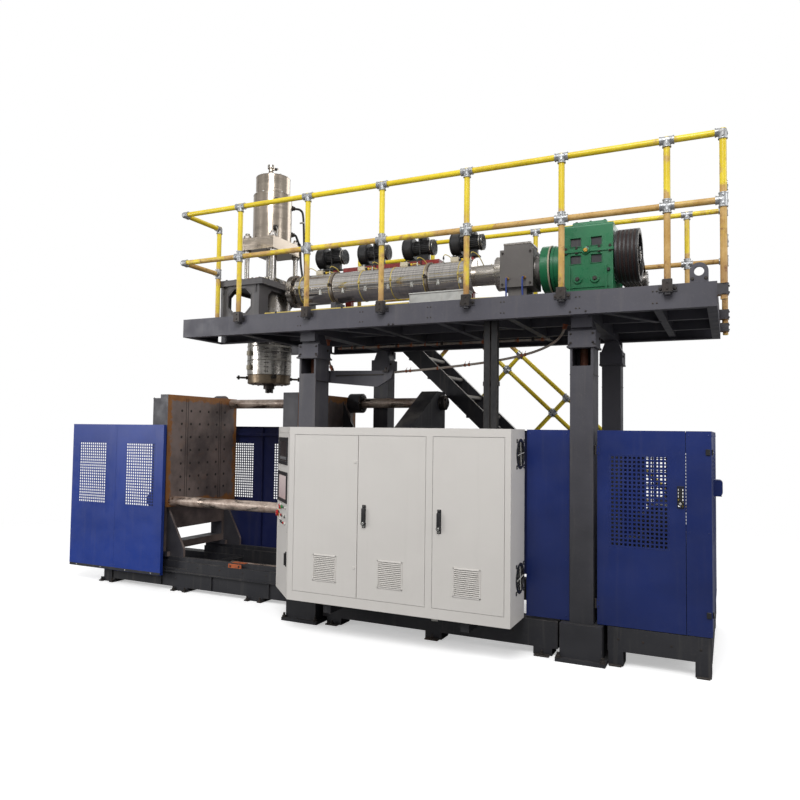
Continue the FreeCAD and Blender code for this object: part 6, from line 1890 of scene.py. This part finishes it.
def gate_trim():
    """Window borders, screws, rails and rollers of the sliding gates."""
    # The back gate's details take the darker rear blue, which is painted shade.
    for body, x_left, y, side, look in (("front_gate", -3503, -690, -1, "blue"),
                                        ("back_gate", -2499, 730, 1, "blue_rear_shaded")):
        piece = Piece("details_" + body, look)
        for i in (0, 1):
            x0 = x_left + i * 698
            x1 = x0 + 696
            window_frame(piece, (x0 + x1) / 2 + (15 if i else -18), y, side)
            back = y - side * 40
            piece.block((x0 + 3, x1 - 3), (back, back + side * 3), (780, 812), 1)
            piece.block((x0 + 3, x1 - 3), (back, back + side * 3), (1690, 1722), 1)
            piece.use("blue" if side < 0 else "blue_rear_shaded")
            for x in (x0 + 26, x1 - 26):
                for z in (222, 1780):
                    piece.dome_screw((x, y, z), (0, side, 0))
            piece.use(look)
        piece.use("dark_frame")
        piece.block((x_left + 4, x_left + 1392), (y - side * 2, y + side * 1), (168, 194), 1)
        for i in range(4):
            x = x_left + 120 + 380 * i
            piece.use("white_plastic").turned((x, y + side * 1, 181), (0, side, 0),
                                              [(0, 6), (1.5, 5.6), (2, 3), (2, 0)], 14)
        piece.use("machined")
        for x in (x_left + 480, x_left + 1176):
            for dx in (-24, 24):
                piece.turned((x + dx, y - side * 60, 229), (0, side, 0),
                             [(-3, 21.5), (-2, 22.6), (18, 22.6), (19, 21.5)], 28)
        piece.done(body)


def guard_trim():
    """Screws, hinges, window borders, handle and seals of the fixed guard and its door."""
    # The guard's details take the darker guard blue, which is painted shade.
    piece = Piece("guard_details", "blue_guard_shaded")
    for x in (2030, 2326):
        for z in (330, 760, 1200, 1756):
            piece.dome_screw((x, GUARD_Y, z), FRONT)
    for x in (3226, 3360):
        for z in (330, 1043, 1756):
            piece.dome_screw((x, GUARD_Y, z), FRONT)
    for y in (-900, -520, -100, 320, 700):
        for z in (330, 1756):
            piece.dome_screw((GUARD_X, y, z), X)
    piece.use("black")
    for z in (455, 1635):
        piece.block((3340, 3372), (-941, GUARD_Y), (z - 22, z + 22), 3)
        piece.block((GUARD_X, 3391), (-920, -890), (z - 22, z + 22), 3)
        piece.use("zinc").turned((3391, -905, z), X, [(0, 5), (2, 5), (3, 3), (3, 0)], 12).use("black")
    piece.use("blue_guard_shaded")
    for y in (-480, 280):
        for v, z in (((y - 218, y + 218), (1600, 1604)), ((y - 218, y + 218), (898, 902)),
                     ((y - 218, y - 214), (902, 1600)), ((y + 214, y + 218), (902, 1600))):
            piece.block((GUARD_X, 3381.2), v, z, 0.5)
    window_frame(piece, 2960, 730, 1)
    piece.block((GUARD_X, 3383), (-60, -57), (300, 1786), 0.8)
    piece.use("zinc")
    for dy in (-46, 46):
        piece.socket_screw((GUARD_X, -190 + dy, 1250), X, 5)
    piece.use("black")
    piece.block((3390, 3440), (-215, -165), (1262, 1268), 2)
    piece.done("base")

    leaf = Piece("guard_door_details", "blue_guard_shaded")
    window_frame(leaf, 2872, GUARD_Y, -1)
    leaf.use("black")
    for u, v in (((3144, 3150), (1218, 1378)), ((3186, 3192), (1218, 1378)), ((3144, 3192), (1372, 1380)),
                 ((3144, 3192), (1216, 1224))):
        leaf.block(u, (-933, -929), v, 1.2)
    leaf.use("rubber")
    leaf.block((2572, 3196), (-906, -901), (306, 312), 1)
    leaf.block((2572, 3196), (-906, -901), (1774, 1780), 1)
    leaf.use("dark_steel")
    for z in (455, 1635):
        leaf.turned((2551, -936, z - 36), Z, [(0, 9.6), (4, 9.6), (4, 9.1), (24, 9.1), (24, 9.6), (48, 9.6),
                                              (48, 9.1), (68, 9.1), (68, 9.6), (72, 9.6), (74, 6)], 24)
        for dz in (-22, 22):
            leaf.turned((2574, -934, z + dz), FRONT, [(0, 4.4), (1.4, 4), (1.4, 0)], 12)
    leaf.done("door_guard")

    grip = Piece("guard_lever_cap", "black")
    grip.hull([Vector((3168 + dx, GUARD_Y - out, z)) for dx, out,
               z in ((-13.5, 12, 1258), (13.5, 12, 1258), (-11, 28, 1266), (11, 28, 1266), (-11, 28, 1358),
                     (11, 28, 1358), (-13.5, 12, 1368.5), (13.5, 12, 1368.5))])
    grip.use("zinc").turned((3168, -956, 1252), FRONT, [(0, 10), (1.6, 10), (2.6, 8.5), (2.6, 4), (0.6, 3.5),
                                                        (0.6, 0)], 24)
    grip.done("lever_guard")


# ---- clamp unit ----------------------------------------------------------------------
CLAMP_Z = 1520
TIES = ((-500, 960), (500, 2080))


def platen_face(piece, x, side):
    """Rows of tapped holes and T-slots on a platen's mould face."""
    piece.use("dark_steel")
    for row in range(7):
        for col in range(6):
            y, z = -375 + 150 * col, 1070 + 150 * row
            if (y + 500) ** 2 + (z - 960) ** 2 < 14000 or (y - 500) ** 2 + (z - 2080) ** 2 < 14000:
                continue
            piece.turned((x, y, z), (side, 0, 0), [(0, 15), (0.8, 15), (1, 11.5), (0.2, 11), (0.2, 0)], 20)
    for y in (-290, 290):
        for dy in (-20, 14):
            piece.block((x, x + side * 1.2), (y + dy, y + dy + 6), (930, 2110), 0.4)


def clamp_trim():
    """Nuts, flanges, pipes and bolts of the clamp's moving frames."""
    outer = Piece("outer_clamp_details", "machined")
    platen_face(outer, -2145, 1)
    for y, z in TIES:
        outer.use("dark_steel")
        outer.turned((-2440, y, z), X, [(-14, 50), (-12, 53), (0, 54.6)], 48)
        outer.turned((-2430, y, z), X, [(-4, 84), (0, 87), (50, 87), (54, 84)], 48)
        for dy, dz in circle_of(8, 72, 22):
            outer.socket_screw((-2434, y + dy, z + dz), LEFT, 9)
        outer.turned((676, y, z), X, [(2, 79), (4, 84), (20, 84), (24, 80), (56, 80), (58, 78), (60, 56)], 48)
        outer.turned((745, y, z), X, [(-2, 54.6), (6, 53), (10, 46), (10, 16), (4, 12), (4, 0)], 40)
        for i in range(6):
            a = math.radians(60 * i + 15)
            spot = Vector((712, y + 80 * math.cos(a), z + 80 * math.sin(a)))
            outer.socket_screw(spot, (0, math.cos(a), math.sin(a)), 8)
    outer.use("machined")
    outer.turned((-380, 0, CLAMP_Z), X, [(-2, 184), (0, 191.5), (48, 191.5), (50, 188)], 60)
    outer.use("dark_steel")
    for dy, dz in circle_of(12, 170, 15):
        outer.bolt((-382, dy, CLAMP_Z + dz), LEFT, 12)
        outer.bolt((738, dy, CLAMP_Z + dz), X, 12)
    outer.turned((790, 0, CLAMP_Z), X, [(0, 140), (6, 136), (6, 60), (2, 56), (2, 0)], 56)
    outer.use("dark_frame")
    for y, z in ((560, 2170), (-560, 870), (560, 1500), (-560, 1540)):
        outer.bolt((490, y, z), LEFT, 13)
    outer.use("copper")
    outer.wire([(-300, 90, 1645), (-298, 140, 1720), (-200, 150, 1730), (200, 150, 1730), (430, 150, 1730),
                (470, 150, 1728)], 12, 10)
    outer.use("dark_steel")
    outer.hexagon((-300, 75, 1640), (0, 0.5, 0.86), 44, 26)
    for x in (-100, 250):
        outer.block((x - 12, x + 12), (130, 170), (1714, 1746), 3)
        outer.block((x - 6, x + 6), (60, 140), (1648, 1720), 1)
    for z in (905, 2100):
        for y in (-575, 575):
            outer.bolt((-2370, y, z + (20 if z < 1000 else 0)), LEFT, 12)
    for side in (-1, 1):
        for x in (-2330, -2235):
            outer.use("dark_steel").bolt((x, side * 552, 375), Z, 14)
    outer.done("clamp_outer")

    inner = Piece("inner_clamp_details", "machined")
    platen_face(inner, -610, -1)
    for y, z in TIES:
        inner.use("dark_steel").turned((-280, y, z), X, [(0, 108), (3, 104), (8, 80), (10, 60)], 48,
                                       closed=False)
        for dy, dz in circle_of(6, 90, 0):
            inner.use("zinc").socket_screw((-278, y + dy, z + dz), X, 9)
    inner.use("dark_steel")
    inner.turned((-430, 0, CLAMP_Z), X, [(0, 132), (28, 132), (32, 128), (32, 81)], 56)
    for dy, dz in circle_of(8, 110, 22):
        inner.bolt((-398, dy, CLAMP_Z + dz), X, 12)
    for side in (-1, 1):
        for x in (-590, -290):
            inner.bolt((x - 14 if x < -500 else x + 60, side * 552, 375), Z, 12)
    inner.done("clamp_inner")


# ---- bed, base frame and hydraulics ---------------------------------------------------
def bed_trim():
    """Anchor bolts, plugs, ribs and rack of the machine bed."""
    piece = Piece("bed_details", "rust_orange")
    piece.block((-1290, -1120), (-566, -556), (307, 352), 5)
    piece.block((-1290, -1120), (-500, -440), (350, 354), 1)
    piece.use("dark_steel")
    for x in (-1260, -1150):
        piece.bolt((x, -566, 330), FRONT, 10)
    for x in (-3000, -1925, -935, 300, 1260):
        for side in (-1, 1):
            for dx in (-80, 80):
                piece.bolt((x + dx, side * 576, 0), Z, 0.1, washer=False)
                piece.block((x + dx - 26, x + dx + 26), (side * 569, side * 612), (0.5, 14), 2)
                piece.bolt((x + dx, side * 592, 14), Z, 17, stub=24)
    for x in (-2900, -2600, -2300, -2000, -1700, -1400, -1100, -800, -500, -200, 100, 400, 700, 1000, 1270):
        for side in (-1, 1):
            z = 270 if x > -1845 else 128
            piece.plug((x, side * 565, z), (0, side, 0))
    piece.use("frame")
    for x in (-2940, -2200, -1500, -760, 0, 760):
        for side in (-1, 1):
            piece.plate([(x - 5, 45), (x + 5, 45), (x + 5, 190), (x - 5, 190)], "xz", side * 564, side * 580)
    piece.use("machined")
    for side in (-1, 1):
        for x in range(-2400, 1300, 160):
            piece.socket_screw((x, side * 490, 342), Z, 8.2)
    piece.use("dark_frame")
    for side in (-1, 1):
        piece.block((-3080, -3072), (side * 420, side * 560), (46, 228), 2)
    for y in (-300, 0, 300):
        piece.block((-1300, -1150), (y - 40, y + 40), (60, 90), 4)
    piece.use("galvanised_dull")
    piece.block((-2700, 1200), (-150, 150), (40, 50), 2)
    piece.use("tie_bar")
    piece.block((-1700, -700), (-12, 12), (226, 250), 3)
    for i in range(60):
        x = -1690 + 16.5 * i
        piece.block((x, x + 8), (-12, 12), (248, 256), 1.2)
    piece.done("base")


def base_trim():
    """Foot bolts of the base frame, and the fittings of the hydraulic unit."""
    piece = Piece("base_frame_details", "dark_steel")
    for x in (220, 1200, 2140):
        for y in (-960, 730):
            piece.block((x - 60, x + 60), (y - 28, y + 28), (0.5, 12), 2)
            piece.bolt((x, y - 4 if y < 0 else y + 4, 12), Z, 18, stub=22)
    for x in (2701, 3316):
        piece.block((x - 46, x + 46), (-959, GUARD_Y), (0.5, 12), 2)
    for x in (300, 700, 1100, 1500, 1900):
        piece.plug((x, GUARD_Y, 165), FRONT)
    for x in (2720, 2900, 3100, 3300):
        piece.plug((x, GUARD_Y, 200), FRONT)
    piece.use("white_plastic").block((1180, 1240), (-933, GUARD_Y), (150, 190), 1)
    piece.done("base")

    unit = Piece("hydraulic_details", "zinc")
    for x in (2712, 2850, 2970, 3090, 3228):
        for y in (-430, 330):
            unit.socket_screw((x, y, 896), Z, 8)
    unit.use("black").turned((3100, 200, 896), Z, [(0, 44), (6, 44), (8, 36), (40, 36), (44, 40), (62, 40),
                                                   (66, 30)], 32)
    unit.use("white_plastic").block((2820, 2850), (-428, -420), (420, 760), 3)
    unit.use("zinc")
    for z in (432, 748):
        unit.hexagon((2835, -428, z), FRONT, 22, 8)
    unit.use("dark_steel").block((2730, 2860), (-60, 220), (896, 1010), 4)
    for y in (-20, 60, 140):
        unit.block((2752, 2838), (y, y + 56), (1010, 1058), 3)
        unit.use("black").block((2700, 2754), (y + 6, y + 50), (1014, 1054), 4)
        unit.block((2836, 2890), (y + 6, y + 50), (1014, 1054), 4)
        unit.use("dark_steel")
    unit.use("cable_black")
    unit.wire([(2780, 220, 950), (2780, 290, 950), (2780, 360, 920), (2780, 400, 760), (2770, 400, 420),
               (2740, 380, 300)], 14, 12)
    unit.wire([(2820, 220, 950), (2824, 300, 960), (2826, 390, 930), (2830, 430, 760), (2830, 430, 420),
               (2800, 400, 300)], 14, 12)
    unit.use("frame")
    for i in range(30):
        angle = 12 * i
        if not (230 < angle < 310 or 65 < angle < 115):
            unit.block((128, 142), (-300, 30), (-2, 2), 0.7, turn=placed((PUMP_MOTOR_X, 0, PUMP_MOTOR_Z), "Y",
                                                                         angle))
    unit.use("dark_steel")
    unit.turned((PUMP_MOTOR_X, -330, PUMP_MOTOR_Z), FRONT, [(-2, 126), (4, 122), (4, 96), (0, 90)], 44,
                closed=False)
    unit.hoops((PUMP_MOTOR_X, -330, PUMP_MOTOR_Z), FRONT, (30, 54, 78), 4, -1, 5, 36)
    for dx, dz in circle_of(6, 116, 0):
        unit.bolt((PUMP_MOTOR_X + dx, 150, PUMP_MOTOR_Z + dz), Y, 9, washer=False)
    for dx in (-130, 130):
        for y in (-240, -60):
            unit.bolt((PUMP_MOTOR_X + dx, y, 930), Z, 11)
    unit.turned((PUMP_MOTOR_X, 150, PUMP_MOTOR_Z), Y, [(0, 90), (60, 90), (64, 70), (130, 70), (134, 40),
                                                       (134, 0)], 40)
    unit.done("base")


# ---- hose under the platform ---------------------------------------------------------
def loose_hose():
    """The slack hose, along the same points as in CAD."""
    curve = bpy.data.curves.new("slack_hose", "CURVE")
    curve.dimensions = "3D"
    curve.bevel_depth, curve.bevel_resolution, curve.resolution_u = HOSE_R * MM, 5, 12
    spline = curve.splines.new("NURBS")
    spline.points.add(len(HOSE_ROUTE) - 1)
    for point, place in zip(spline.points, HOSE_ROUTE):
        point.co = (*(v * MM for v in place), 1)
    spline.order_u = 3
    spline.use_endpoint_u = True
    hose = bpy.data.objects.new("slack_hose", curve)
    bpy.context.scene.collection.objects.link(hose)
    curve.materials.append(PALETTE["hose_rubber"])
    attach(hose, "platform")
    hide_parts("hose_loose")


loose_hose()

rail_fittings()
stair_fittings()
column_fittings()
side_arm_fittings()
platform_fittings()
clipped_hose_ties()
loose_hose_ends()
cable_riser_fittings()
head_top()
head_middle()
head_bottom()
extruder_trim()
blower_trim()
feed_trim()
gearbox_trim()
pulley_trim()
motor_trim()
cabinet_doors()
cabinet_body()
console()
fan_rotors()
gate_trim()
guard_trim()
clamp_trim()
bed_trim()
base_trim()
